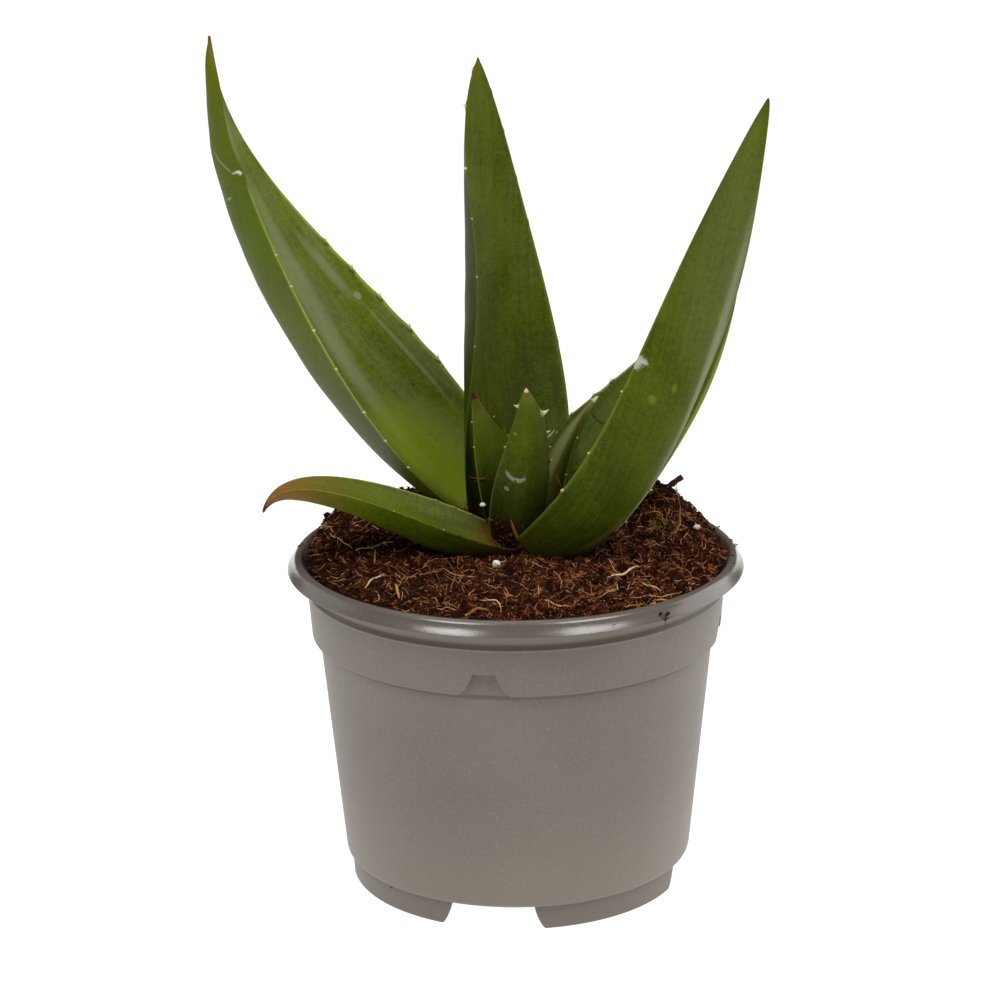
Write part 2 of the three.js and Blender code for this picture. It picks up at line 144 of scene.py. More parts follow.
class Tone:
    """A value socket of a material, which Python's operators work on."""

    def __init__(self, palette: "Palette", socket: bpy.types.NodeSocket) -> None:
        """Wrap a socket.

        Args:
            palette: The material that the socket belongs to.
            socket: An output that carries a number.
        """
        self.palette = palette
        self.socket = socket

    def _maths(self, operation: str, first: "Tone | float", second: "Tone | float") -> "Tone":
        """Return the result of one Math node."""
        return self.palette.node("ShaderNodeMath", {"operation": operation}, {0: first, 1: second})

    def __add__(self, other: "Tone | float") -> "Tone":
        """Return the sum."""
        return self._maths("ADD", self, other)

    def __radd__(self, other: float) -> "Tone":
        """Return the sum, with the number first."""
        return self._maths("ADD", other, self)

    def __sub__(self, other: "Tone | float") -> "Tone":
        """Return the difference."""
        return self._maths("SUBTRACT", self, other)

    def __rsub__(self, other: float) -> "Tone":
        """Return the difference, with the number first."""
        return self._maths("SUBTRACT", other, self)

    def __mul__(self, other: "Tone | float") -> "Tone":
        """Return the product."""
        return self._maths("MULTIPLY", self, other)

    def __rmul__(self, other: float) -> "Tone":
        """Return the product, with the number first."""
        return self._maths("MULTIPLY", other, self)

    def __abs__(self) -> "Tone":
        """Return the value without its sign."""
        return self._maths("ABSOLUTE", self, 0.0)

    def both(self, other: "Tone") -> "Tone":
        """Return the lower of two values."""
        return self._maths("MINIMUM", self, other)

    def either(self, other: "Tone") -> "Tone":
        """Return the higher of two values."""
        return self._maths("MAXIMUM", self, other)

    def rise(self, low: float, high: float) -> "Tone":
        """Return 0 at low and below, 1 at high and above, eased between them."""
        settings = {"interpolation_type": "SMOOTHSTEP"}
        return self.palette.node("ShaderNodeMapRange", settings, {0: self, 1: low, 2: high})

    def fall(self, low: float, high: float) -> "Tone":
        """Return 1 at low and below, 0 at high and above, eased between them."""
        return 1.0 - self.rise(low, high)

    def band(self, low: Pair, high: Pair) -> "Tone":
        """Return 1 between two edges, each of which is eased from its first value to its second."""
        return self.rise(*low) * self.fall(*high)


class Palette:
    """One material, and the nodes that it is built from."""

    MIX_LOW = 6
    MIX_HIGH = 7
    MIX_RESULT = 2

    def __init__(self, name: str) -> None:
        """Start an empty material.

        Args:
            name: The material's name.
        """
        self.material = bpy.data.materials.new(name)
        self.material.use_nodes = True
        self.tree = self.material.node_tree
        self.shader = self.tree.nodes["Principled BSDF"]

    def node(self, kind: str, settings: dict | None = None, inputs: dict | None = None,
             output: int | str = 0) -> Tone:
        """Add one node.

        Args:
            kind: The node's type.
            settings: Its own properties; "stops" holds a ramp's positions and colours.
            inputs: A number, colour, vector or Tone for each socket, by name or number.
            output: The socket that is wanted.

        Returns:
            The wanted output.
        """
        made = self.tree.nodes.new(kind)
        for key, value in (settings or {}).items():
            if key == "stops":
                self._set_stops(made.color_ramp, value)
            else:
                setattr(made, key, value)
        for key, value in (inputs or {}).items():
            self.feed(made.inputs[key], value)
        return Tone(self, made.outputs[output])

    def feed(self, socket: bpy.types.NodeSocket, value: Tone | Colour | float | Sequence[float]) -> None:
        """Link a Tone to a socket, or set the socket's own value.

        Args:
            socket: The input that takes the value.
            value: A Tone, a web colour code, a number or a row of numbers.
        """
        if isinstance(value, Tone):
            self.tree.links.new(value.socket, socket)
        elif isinstance(value, Colour):
            socket.default_value = (*srgb(value), 1.0)
        elif isinstance(value, tuple) and socket.type == "RGBA":
            socket.default_value = (*value, 1.0)
        else:
            socket.default_value = value

    @staticmethod
    def _set_stops(ramp: bpy.types.ColorRamp, stops: Sequence[tuple[float, Colour]]) -> None:
        """Give a ramp its colours.

        Args:
            ramp: The ramp, which has two stops to begin with.
            stops: A position from 0 to 1 and a colour for each stop.
        """
        while len(ramp.elements) < len(stops):
            ramp.elements.new(0.5)
        for element, (position, colour) in zip(ramp.elements, stops):
            element.position = position
            element.color = (*srgb(colour), 1.0)

    def place(self) -> Tone:
        """Return the point of the object, in metres."""
        return self.node("ShaderNodeTexCoord", output="Object")

    def attribute(self, name: str) -> Tone:
        """Return a vector that the mesh carries."""
        return self.node("ShaderNodeAttribute", {"attribute_name": name}, output="Vector")

    def split(self, vector: Tone) -> list[Tone]:
        """Return the three parts of a vector."""
        first = self.node("ShaderNodeSeparateXYZ", None, {0: vector})
        return [Tone(self, output) for output in first.socket.node.outputs]

    def stretched(self, vector: Tone, scale: Spot) -> Tone:
        """Return a vector whose parts are multiplied one by one."""
        return self.node("ShaderNodeVectorMath", {"operation": "MULTIPLY"}, {0: vector, 1: scale})

    def noise(self, at: Tone, scale: float, detail: float = 2.0, roughness: float = 0.5,
              warp: float = 0.0) -> Tone:
        """Return cloudy noise between 0 and 1."""
        inputs = {"Vector": at, "Scale": scale, "Detail": detail, "Roughness": roughness,
                  "Distortion": warp}
        return self.node("ShaderNodeTexNoise", None, inputs)

    def cells(self, at: Tone, scale: float, output: int | str = 0) -> Tone:
        """Return a cell pattern's distance or colour."""
        return self.node("ShaderNodeTexVoronoi", None, {"Vector": at, "Scale": scale}, output)

    def flecks(self, at: Tone, scale: float, size: float, share: float) -> Tone:
        """Return a mask of scattered round spots.

        Args:
            at: Where the pattern is read.
            scale: How many cells there are along one unit.
            size: A spot's radius as a share of its cell.
            share: How many of the cells hold a spot.

        Returns:
            1 inside a spot and 0 outside.
        """
        distance = self.cells(at, scale)
        chosen = self.split(self.cells(at, scale, output="Color"))[0]
        return distance.fall(size * 0.6, size) * chosen.fall(share, share + 0.01)

    def ramp(self, share: Tone, *stops: tuple[float, Colour]) -> Tone:
        """Return the colour that a value picks from a row of colours."""
        return self.node("ShaderNodeValToRGB", {"stops": stops}, {0: share})

    def mix(self, share: Tone, low: Tone | Colour, high: Tone | Colour) -> Tone:
        """Return a colour between two others."""
        inputs = {0: share, self.MIX_LOW: low, self.MIX_HIGH: high}
        return self.node("ShaderNodeMix", {"data_type": "RGBA"}, inputs, self.MIX_RESULT)

    def bump(self, height: Tone, depth: float, before: Tone | None = None) -> Tone:
        """Return a normal that a height of the given depth, in metres, has tilted."""
        tilted = {} if before is None else {"Normal": before}
        return self.node("ShaderNodeBump", None,
                         {"Height": height, "Distance": depth, "Strength": 1.0, **tilted})

    def finish(self, **sockets: Tone | Colour | float | Spot) -> bpy.types.Material:
        """Set the shader's own sockets.

        Args:
            **sockets: A value for each socket, with underscores for the spaces in its name.

        Returns:
            The finished material.
        """
        for name, value in sockets.items():
            self.feed(self.shader.inputs[name.replace("_", " ")], value)
        return self.material


# ---------------------------------------------------------------- meshes


def linked(name: str, data: bpy.types.ID) -> bpy.types.Object:
    """Return a new object that is linked into the scene.

    Args:
        name: The object's name.
        data: Its mesh, curve, light or camera.

    Returns:
        The object.
    """
    made = bpy.data.objects.new(name, data)
    bpy.context.scene.collection.objects.link(made)
    return made


def mesh_object(name: str, mesh: bpy.types.Mesh, material: bpy.types.Material, slot: Slot,
                stands_for: Sequence[str] = (), sharp: float | None = None) -> bpy.types.Object:
    """Put a finished mesh into the scene as a piece of the plant.

    Args:
        name: The piece's name.
        mesh: Its mesh, already in place and in metres.
        material: Its finish.
        slot: The slot that the finish belongs to; it is not used.
        stands_for: The CAD nodes that it replaces.
        sharp: The angle in degrees past which an edge stays crisp, or None to shade all smooth.

    Returns:
        The new object.
    """
    mesh.name = name
    mesh.materials.clear()
    mesh.materials.append(material)
    mesh.shade_smooth()
    if sharp is not None:
        mesh.set_sharp_from_angle(angle=math.radians(sharp))
    piece = linked(name, mesh)
    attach(piece, "root")
    if stands_for:
        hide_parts(*stands_for)
    LOG.info("%s: %d faces", name, len(mesh.polygons))
    return piece


def mesh_from(shape: bmesh.types.BMesh) -> bpy.types.Mesh:
    """Turn a bmesh into a mesh, and free it.

    Args:
        shape: The bmesh, which can't be used any more.

    Returns:
        The mesh.
    """
    mesh = bpy.data.meshes.new("mesh")
    shape.to_mesh(mesh)
    shape.free()
    return mesh


def pour(part: bmesh.types.BMesh, whole: bmesh.types.BMesh) -> None:
    """Add one bmesh to another, and free the first.

    Args:
        part: What is added.
        whole: What it is added to.
    """
    scoop = mesh_from(part)
    whole.from_mesh(scoop)
    bpy.data.meshes.remove(scoop)


def facing_out(shape: bmesh.types.BMesh) -> bmesh.types.BMesh:
    """Turn the faces of a closed shape outwards, and return the shape."""
    bmesh.ops.recalc_face_normals(shape, faces=shape.faces)
    return shape


def evaluated_mesh(holder: bpy.types.Object) -> bpy.types.Mesh:
    """Return a new mesh of an object as it is drawn, with its modifiers and bevels."""
    graph = bpy.context.evaluated_depsgraph_get()
    return bpy.data.meshes.new_from_object(holder.evaluated_get(graph))


def closed_tube(sides: int, rings: int) -> bmesh.types.BMesh:
    """Return a closed unit cylinder round Z, from z 0 to 1, cut into rings.

    Args:
        sides: How many sides it has.
        rings: How many bands of faces it has along Z.

    Returns:
        The cylinder, with a point in the middle of each end.
    """
    shape = bmesh.new()
    bmesh.ops.create_cone(shape, cap_ends=True, segments=sides, radius1=1, radius2=1, depth=1,
                          matrix=Matrix.Translation((0, 0, 0.5)))
    posts = [edge for edge in shape.edges if abs(edge.verts[0].co.z - edge.verts[1].co.z) > 0.5]
    bmesh.ops.subdivide_edges(shape, edges=posts, cuts=rings - 1, use_grid_fill=True)
    caps = [face for face in shape.faces if len(face.verts) == sides]
    bmesh.ops.poke(shape, faces=caps)
    return shape


def spun(points: Sequence[Vector], steps: int, closed: bool = False,
         merge: float = 1e-4) -> bmesh.types.BMesh:
    """Spin a profile round the Z axis.

    Args:
        points: The profile in the X-Z plane.
        steps: How many sides the turned form has.
        closed: Whether the profile's last point joins its first.
        merge: How near two points are to become one.

    Returns:
        The closed shell, in the profile's own units.
    """
    shape = bmesh.new()
    verts = [shape.verts.new(point) for point in points]
    pairs = list(zip(verts, verts[1:])) + ([(verts[-1], verts[0])] if closed else [])
    edges = [shape.edges.new(pair) for pair in pairs]
    bmesh.ops.spin(shape, geom=verts + edges, cent=(0, 0, 0), axis=UP, angle=math.tau, steps=steps,
                   use_merge=True)
    bmesh.ops.remove_doubles(shape, verts=shape.verts, dist=merge)
    return facing_out(shape)


def joined(base: bpy.types.Mesh, changes: Iterable[tuple[str, bmesh.types.BMesh]]) -> bpy.types.Mesh:
    """Add solids to a mesh or cut them from it.

    Args:
        base: The mesh to change.
        changes: UNION or DIFFERENCE, and the solid, for each step in turn.

    Returns:
        The changed mesh.
    """
    holder = linked("holder", base)
    tools = []
    for operation, solid in changes:
        tool = linked("tool", mesh_from(solid))
        tools.append(tool)
        cut = holder.modifiers.new("cut", "BOOLEAN")
        cut.operation = operation
        cut.solver = "MANIFOLD"
        cut.object = tool
    result = evaluated_mesh(holder)
    for done in [holder, *tools]:
        bpy.data.objects.remove(done)
    return result


# ---------------------------------------------------------------- leaves


@dataclass(frozen=True)
class Station:
    """Where a leaf is, which way it faces and how wide it is, at one share of its length."""

    centre: Vector
    along: Vector
    across: Vector
    inwards: Vector
    half_width: float
    thickness: float
    channel: float

    def point(self, side: float, on_back: bool) -> Vector:
        """Return a point of the crescent section.

        Args:
            side: From -1 at one edge to 1 at the other.
            on_back: Whether the point is on the rounded back or in the channel.

        Returns:
            The point, in millimetres from the pot's axis.
        """
        body = self.thickness * (1 - abs(side) ** Leaf.BACK_ROUNDING) if on_back else 0.0
        sink = self.channel * (1 - side * side) + body
        return self.centre + self.across * (side * self.half_width) - self.inwards * sink


@dataclass(frozen=True)
class Mark:
    """A mark on a leaf's skin, with its place and size as shares of the leaf's length and width.

    bite is how far the oval that is taken out of it is shifted, in its own lengths and widths;
    a mark with a bite is a crescent. slant is how far it drifts sideways for its place along,
    ragged how uneven its outline is, and core where it starts to fade: 0 is soft, 1 is crisp.
    """

    share: float
    side: float
    length: float
    width: float
    colour: Colour
    strength: float = 1.0
    on_back: bool = True
    bite: Pair | None = None
    slant: float = 0.0
    ragged: float = 0.8
    core: float = 0.6

    def mask(self, palette: Palette, side: Tone, share: Tone, back: Tone, run: Tone) -> Tone:
        """Return how strongly the mark shows at each point.

        Args:
            palette: The leaf's material.
            side: The point's place between the edges.
            share: Its place along the leaf.
            back: 1 on the back and 0 in the channel.
            run: Its distances in millimetres.

        Returns:
            A value between 0 and 1.
        """
        uneven = (palette.noise(run, 1.6, 4.0, 0.7) - 0.5) * self.ragged
        whole = self._oval(side, share, uneven, 0.0, 0.0)
        if self.bite is not None:
            whole = whole * (1.0 - self._oval(side, share, uneven, *self.bite))
        return whole * (back if self.on_back else 1.0 - back) * self.strength

    def _oval(self, side: Tone, share: Tone, uneven: Tone, along: float, across: float) -> Tone:
        """Return where an oval of the mark's size is.

        Args:
            side: The point's place between the edges.
            share: Its place along the leaf.
            uneven: What roughens the outline.
            along: How far the oval is shifted along the leaf, in its own lengths.
            across: How far it is shifted sideways, in its own widths.

        Returns:
            1 inside and 0 outside.
        """
        level = (share - (self.share + along * self.length)) * (1 / self.length)
        middle = (share - self.share) * self.slant + self.side
        sideways = (side - middle - across * self.width) * (1 / self.width)
        return (level * level + sideways * sideways + uneven).fall(self.core, 1.05)


@dataclass(frozen=True)
class LeafFinish:
    """The waxy skin of a leaf, with its margin, tip, foot and marks."""

    name: str
    slot: Slot
    deep: Colour = "#364203"
    fresh: Colour = "#576308"
    # Wax bloom, and painted sheen on the channel side.
    bloom_and_sheen: Colour = "#7c8460"
    bloom_and_sheen_share: float = 0.15
    back_tint: Colour = "#59650a"
    back_share: float = 0.15
    margin: Colour = "#8a9636"
    margin_share: float = 0.55
    margin_to: float = 1.0
    tip: Colour = "#66680c"
    tip_from: float = 0.86
    spine: Colour = "#6e2a1c"
    spine_from: float = 0.985
    # The foot colour: on some leaves their own browning, on others painted shade deep in the crown.
    foot: Colour = "#4a4a10"
    foot_to: float = 0.1
    tooth: Colour = "#d9dcae"
    tooth_base: Colour = "#7f8a2c"
    dirt: Colour = "#2a1c0a"
    marks: tuple[Mark, ...] = ()

    # Cells of noise to the millimetre, across and along the leaf.
    VEINS = (1.7, 0.03, 1.0)
    CLOUDS = (1.0, 0.5, 1.0)
    WAX = (0.28, 0.03, 1.0)
    SKIN_DEPTH = 0.25 * MM
    PORE_DEPTH = 0.07 * MM
    MARGIN_FROM = 0.955
    MARGIN_FADE = 0.05
    SPINE_FADE = 0.012

    def material(self) -> bpy.types.Material:
        """Return the leaf's material, which reads the two layers that Leaf.skin_layers makes."""
        palette = Palette(self.name)
        side, share, kind = palette.split(palette.attribute("leaf_place"))
        run = palette.attribute("leaf_run")
        back = kind.rise(0.2, 0.8)
        veins = palette.noise(palette.stretched(run, self.VEINS), 1.0, 4.0, 0.65, 0.3)
        clouds = palette.noise(palette.stretched(run, self.CLOUDS), 0.11, 3.0, 0.55)
        mottle = palette.noise(run, 0.8, 3.0, 0.65)
        grain = palette.noise(run, 3.2, 2.0, 0.6)
        blend = veins * 0.24 + clouds * 0.26 + mottle * 0.24 + grain * 0.26
        # Painted shade: the skin is darker low on the leaf and lighter towards the tip.
        blend = blend + share * 0.12 - 0.05
        colour = palette.mix(blend.rise(0.38, 0.62), self.deep, self.fresh)
        colour = palette.mix(back * self.back_share, colour, self.back_tint)
        # Wax bloom and painted sheen, laid in streaks on the channel side.
        wax = palette.noise(palette.stretched(run, self.WAX), 1.0, 2.0, 0.5)
        colour = palette.mix((1.0 - back) * wax.rise(0.25, 0.8) * self.bloom_and_sheen_share, colour, self.bloom_and_sheen)
        # The foot: low_left's own browning; on front_small and inner_right, painted shade deep in the
        # crown.
        foot = share.fall(0.0, self.foot_to) * (0.5 + clouds * 0.6)
        colour = palette.mix(foot, colour, self.foot)
        colour = palette.mix(share.rise(self.tip_from, 1.0), colour, self.tip)
        rim = abs(side).rise(self.MARGIN_FROM, 1.0) * (0.4 + veins * 0.8) * self.margin_share
        rim = rim * share.fall(self.margin_to, self.margin_to + self.MARGIN_FADE)
        colour = palette.mix(rim, colour, self.margin)
        dust = palette.flecks(run, 1.1, 0.2, 0.16).either(palette.flecks(run, 0.33, 0.1, 0.25))
        colour = palette.mix(dust * 0.3, colour, self.bloom_and_sheen)
        soiled = palette.flecks(run, 0.6, 0.24, 0.3) * share.fall(0.05, 0.45)
        colour = palette.mix(soiled * 0.6, colour, self.dirt)
        roughness = 0.4 + wax * 0.1 + mottle * 0.08 + dust * 0.2
        # Most marks are scars and spots; some are painted sheen, highlights and shade.
        for mark in self.marks:
            mask = mark.mask(palette, side, share, back, run)
            colour = palette.mix(mask, colour, mark.colour)
            roughness = roughness + mask * 0.2
        spine = share.rise(self.spine_from, self.spine_from + self.SPINE_FADE)
        colour = palette.mix(spine, colour, self.spine)
        horn = palette.mix(kind.rise(2.0, 2.6), self.tooth_base, self.tooth)
        colour = palette.mix(kind.rise(1.5, 1.9), colour, horn)
        skin = palette.bump(veins * 0.4 + mottle * 0.6, self.SKIN_DEPTH)
        pores = palette.bump(palette.noise(run, 3.6, 2.0), self.PORE_DEPTH, skin)
        return palette.finish(Base_Color=colour, Roughness=roughness, Normal=pores,
                              Specular_IOR_Level=0.1)


@dataclass(frozen=True)
class Dent:
    """A place where a leaf's two edges stand in or out from their smooth line, in millimetres."""

    share: float
    reach: float
    first: float
    second: float


@dataclass(frozen=True)
class Ridge:
    """A fold that runs lengthwise along a leaf's skin; a negative height is a groove."""

    side: float
    width: float
    start: float
    end: float
    height: float
    on_back: bool = False


@dataclass
class Leaf:
    """One leaf: a channelled crescent drawn out along a curved line, with teeth on both edges.

    path holds the root, two handles and the tip of the line midway between the edges. turn is the
    angle from +X that the back faces, as a value at the root, a handle and a value at the tip.
    cup is how deep the channel is against half the width. teeth holds, for the first and the
    second edge, each tooth's place along the leaf and its size.
    """

    name: str
    path: tuple[Spot, Spot, Spot, Spot]
    width: float
    taper: float
    neck: float
    thickness: float
    cup: Pair
    turn: tuple[float, float, float]
    finish: LeafFinish
    teeth: tuple[tuple[Pair, ...], tuple[Pair, ...]]
    dents: tuple[Dent, ...] = ()
    ridges: tuple[Ridge, ...] = ()
    rings: int = 150
    sides: int = 72
    seed: int = 1

    NECK_SHARE = 0.12
    BACK_ROUNDING = 2.4
    THICKNESS_TAPER = 0.6
    ROOT_POINT = 2.5
    SPINE_POINT = 0.5
    SPINE_HALF_WIDTH = 0.3
    SPINE_THICKNESS = 0.6
    LENGTH_STEPS = 40
    TOOTH_SIDES = 6
    TOOTH_RINGS = 4
    TOOTH_WIDTH = 0.42
    TOOTH_FLARE = 0.9
    TOOTH_THICKNESS = 0.3
    TOOTH_TAPER = 0.96
    TOOTH_REACH = 1.1
    TOOTH_SUNK = 0.15
    TOOTH_HOOK = 0.55
    FOOT_HEIGHT = 0.3
    FOOT_REACH = 1.1
    RIM_POWER = 12
    LEAST_RIM = 0.01
    LEAST_HALF_WIDTH = 0.25
    FADE_POWER = 6
    TIP_FADE = 0.08
    GROOVES = 7
    GROOVE_DEPTH = 0.05
    GROOVE_DRIFT = 3
    WAVE_DEPTH = 0.6
    WAVE_LENGTH = 26.0
    RIPPLE_DEPTH = 0.18
    RIPPLE_LENGTH = 7.0
    RIDGE_FADE = 0.03
    HAIR = 1e-6
    LAYER_STEP = 13.0
    BACK_LAYER = 7.0
    TOOTH_RUN = 100

    def station(self, share: float) -> Station:
        """Work out the leaf's section at one place.

        Args:
            share: The place along the leaf, from 0 at the root to 1 at the tip.

        Returns:
            The section, in millimetres from the pot's axis.
        """
        root, lower, upper, tip = (Vector(point) for point in self.path)
        rest = 1 - share
        centre = (root * rest ** 3 + lower * 3 * rest ** 2 * share
                  + upper * 3 * rest * share ** 2 + tip * share ** 3)
        along = bent(lower - root, upper - lower, tip - upper, share).normalized()
        angle = math.radians(bent(*self.turn, share))
        across = Vector((-math.sin(angle), math.cos(angle), 0))
        across = (across - along * across.dot(along)).normalized()
        neck = 1 - (1 - self.neck) * math.exp(-share / self.NECK_SHARE)
        half_width = max(self.width / 2 * rest ** self.taper * neck, self.SPINE_HALF_WIDTH)
        thickness = max(self.thickness * rest ** self.THICKNESS_TAPER, self.SPINE_THICKNESS)
        return Station(centre, along, across, along.cross(across), half_width, thickness,
                       lerp(*self.cup, share) * half_width)

    def length(self) -> float:
        """Return the length of the leaf's middle line."""
        steps = self.LENGTH_STEPS
        points = [self.station(step / steps).centre for step in range(steps + 1)]
        return sum((after - before).length for before, after in zip(points, points[1:]))

    def build(self) -> bpy.types.Object:
        """Build the leaf in place of its CAD node."""
        shape = closed_tube(self.sides, self.rings)
        places, runs = self.skin_layers(shape)
        length = self.length()
        teeth = dict(zip((-1, 1), self.teeth))
        stations = [self.station(ring / self.rings) for ring in range(self.rings + 1)]
        for vertex in shape.verts:
            share = vertex.co.z
            station = stations[round(share * self.rings)]
            if vertex.co.xy.length < 0.5:
                middle = (station.point(0, False) + station.point(0, True)) / 2
                middle += station.along * (-self.ROOT_POINT if share < 0.5 else self.SPINE_POINT)
                vertex[places] = (0, share, 0.5)
                vertex[runs] = (0, share * length, self.seed)
                vertex.co = placed(middle)
                continue
            side = max(-1.0, min(1.0, vertex.co.x))
            on_back = vertex.co.y > self.HAIR
            on_edge = abs(vertex.co.y) < self.HAIR
            vertex[places] = (side, share, 0.5 if on_edge else float(on_back))
            vertex[runs] = (side * station.half_width, share * length,
                            self.seed + (self.BACK_LAYER if on_back else 0.0))
            point = station.point(side, on_back)
            point += self.relief(station, side, share, on_back, length)
            point += self.edge_shift(station, side, share, length, teeth)
            vertex.co = placed(point)
        facing_out(shape)
        for side, row in teeth.items():
            for share, size in row:
                self.add_tooth(shape, side, share, size)
        return mesh_object(f"{self.name}_leaf", mesh_from(shape), self.finish.material(),
                           self.finish.slot, [f"leaf_{self.name}"])

    @staticmethod
    def skin_layers(shape: bmesh.types.BMesh) -> list[bmesh.types.BMLayerItem]:
        """Add what each point says of itself for the leaf's material.

        Args:
            shape: A leaf or a tooth.

        Returns:
            A layer for the point's side, its share of the length, and its kind: 0 in the channel,
            0.5 on an edge, 1 on the back, 2 to 3 up a tooth. Then a layer for its distances across
            and along in millimetres, and the layer of noise that it is in.
        """
        return [shape.verts.layers.float_vector.new(name) for name in ("leaf_place", "leaf_run")]

    def relief(self, station: Station, side: float, share: float, on_back: bool,
               length: float) -> Vector:
        """Work out how far a point of the skin moves for slow waves, fine grooves and folds.

        Args:
            station: The leaf's section there.
            side: The point's place between the edges.
            share: Its place along the leaf.
            on_back: Whether it is on the back or in the channel.
            length: The leaf's length.

        Returns:
            The move, in millimetres.
        """
        run = Vector((side * station.half_width, share * length, self.seed * self.LAYER_STEP))
        fade = smoothstep(1 - share, 0.0, self.TIP_FADE) * (1 - abs(side) ** self.FADE_POWER)
        wave = self.WAVE_DEPTH * noise.noise(run / self.WAVE_LENGTH)
        if on_back:
            fine = self.RIPPLE_DEPTH * noise.noise(run / self.RIPPLE_LENGTH)
        else:
            turn = self.GROOVES * math.pi * side + self.GROOVE_DRIFT * wave
            fine = self.GROOVE_DEPTH * math.sin(turn)
        fold = 0.0
        for ridge in self.ridges:
            if ridge.on_back == on_back:
                starts, ends = [smoothstep(share, place - self.RIDGE_FADE, place + self.RIDGE_FADE)
                                for place in (ridge.start, ridge.end)]
                fold += ridge.height * starts * (1 - ends) * bell(side - ridge.side, ridge.width)
        outwards = -1 if on_back else 1
        return station.inwards * (fade * (wave + fine) + outwards * fold)

    def edge_shift(self, station: Station, side: float, share: float, length: float,
                   teeth: dict[int, Sequence[Pair]]) -> Vector:
        """Work out how far a point moves sideways for the dents and the feet of the teeth.

        Args:
            station: The leaf's section there.
            side: The point's place between the edges.
            share: Its place along the leaf.
            length: The leaf's length.
            teeth: The teeth of each edge whose feet widen it.

        Returns:
            The move, in millimetres.
        """
        shift = 0.0
        for dent in self.dents:
            amount = dent.second if side > 0 else dent.first
            shift += amount * side ** 2 * bell(share - dent.share, dent.reach)
        rim = abs(side) ** self.RIM_POWER
        if rim > self.LEAST_RIM:
            for place, size in teeth[1 if side > 0 else -1]:
                foot = bell((share - place) * length, self.FOOT_REACH * size)
                shift += rim * self.FOOT_HEIGHT * size * foot
        shift = max(shift, self.LEAST_HALF_WIDTH - station.half_width)
        return station.across * math.copysign(shift, side * shift)

    def add_tooth(self, shape: bmesh.types.BMesh, side: int, share: float, size: float) -> None:
        """Add one tooth: a flattened cone that hooks towards the leaf's tip.

        Args:
            shape: The leaf's mesh, which the tooth is added to.
            side: -1 or 1, the edge that it stands on.
            share: Where it stands along the leaf.
            size: How far it stands out, in millimetres.
        """
        station = self.station(share)
        root = station.point(side, False) - station.inwards * self.TOOTH_SUNK
        root += self.edge_shift(station, side, share, self.length(), {-1: (), 1: ()})
        outwards = station.across * side
        tooth = closed_tube(self.TOOTH_SIDES, self.TOOTH_RINGS)
        places, runs = self.skin_layers(tooth)
        for vertex in tooth.verts:
            height = vertex.co.z
            slim = size * (1 - self.TOOTH_TAPER * height)
            wide = vertex.co.x * self.TOOTH_WIDTH * slim * (1 + self.TOOTH_FLARE * (1 - height) ** 3)
            thick = vertex.co.y * self.TOOTH_THICKNESS * slim
            reach = size * (self.TOOTH_REACH * height - self.TOOTH_SUNK)
            hook = self.TOOTH_HOOK * size * height ** 2
            vertex[places] = (side, share, 2.0 + height)
            vertex[runs] = (side * station.half_width, share * self.TOOTH_RUN, self.seed)
            vertex.co = placed(root + outwards * reach + station.along * (wide + hook)
                               + station.inwards * thick)
        pour(facing_out(tooth), shape)


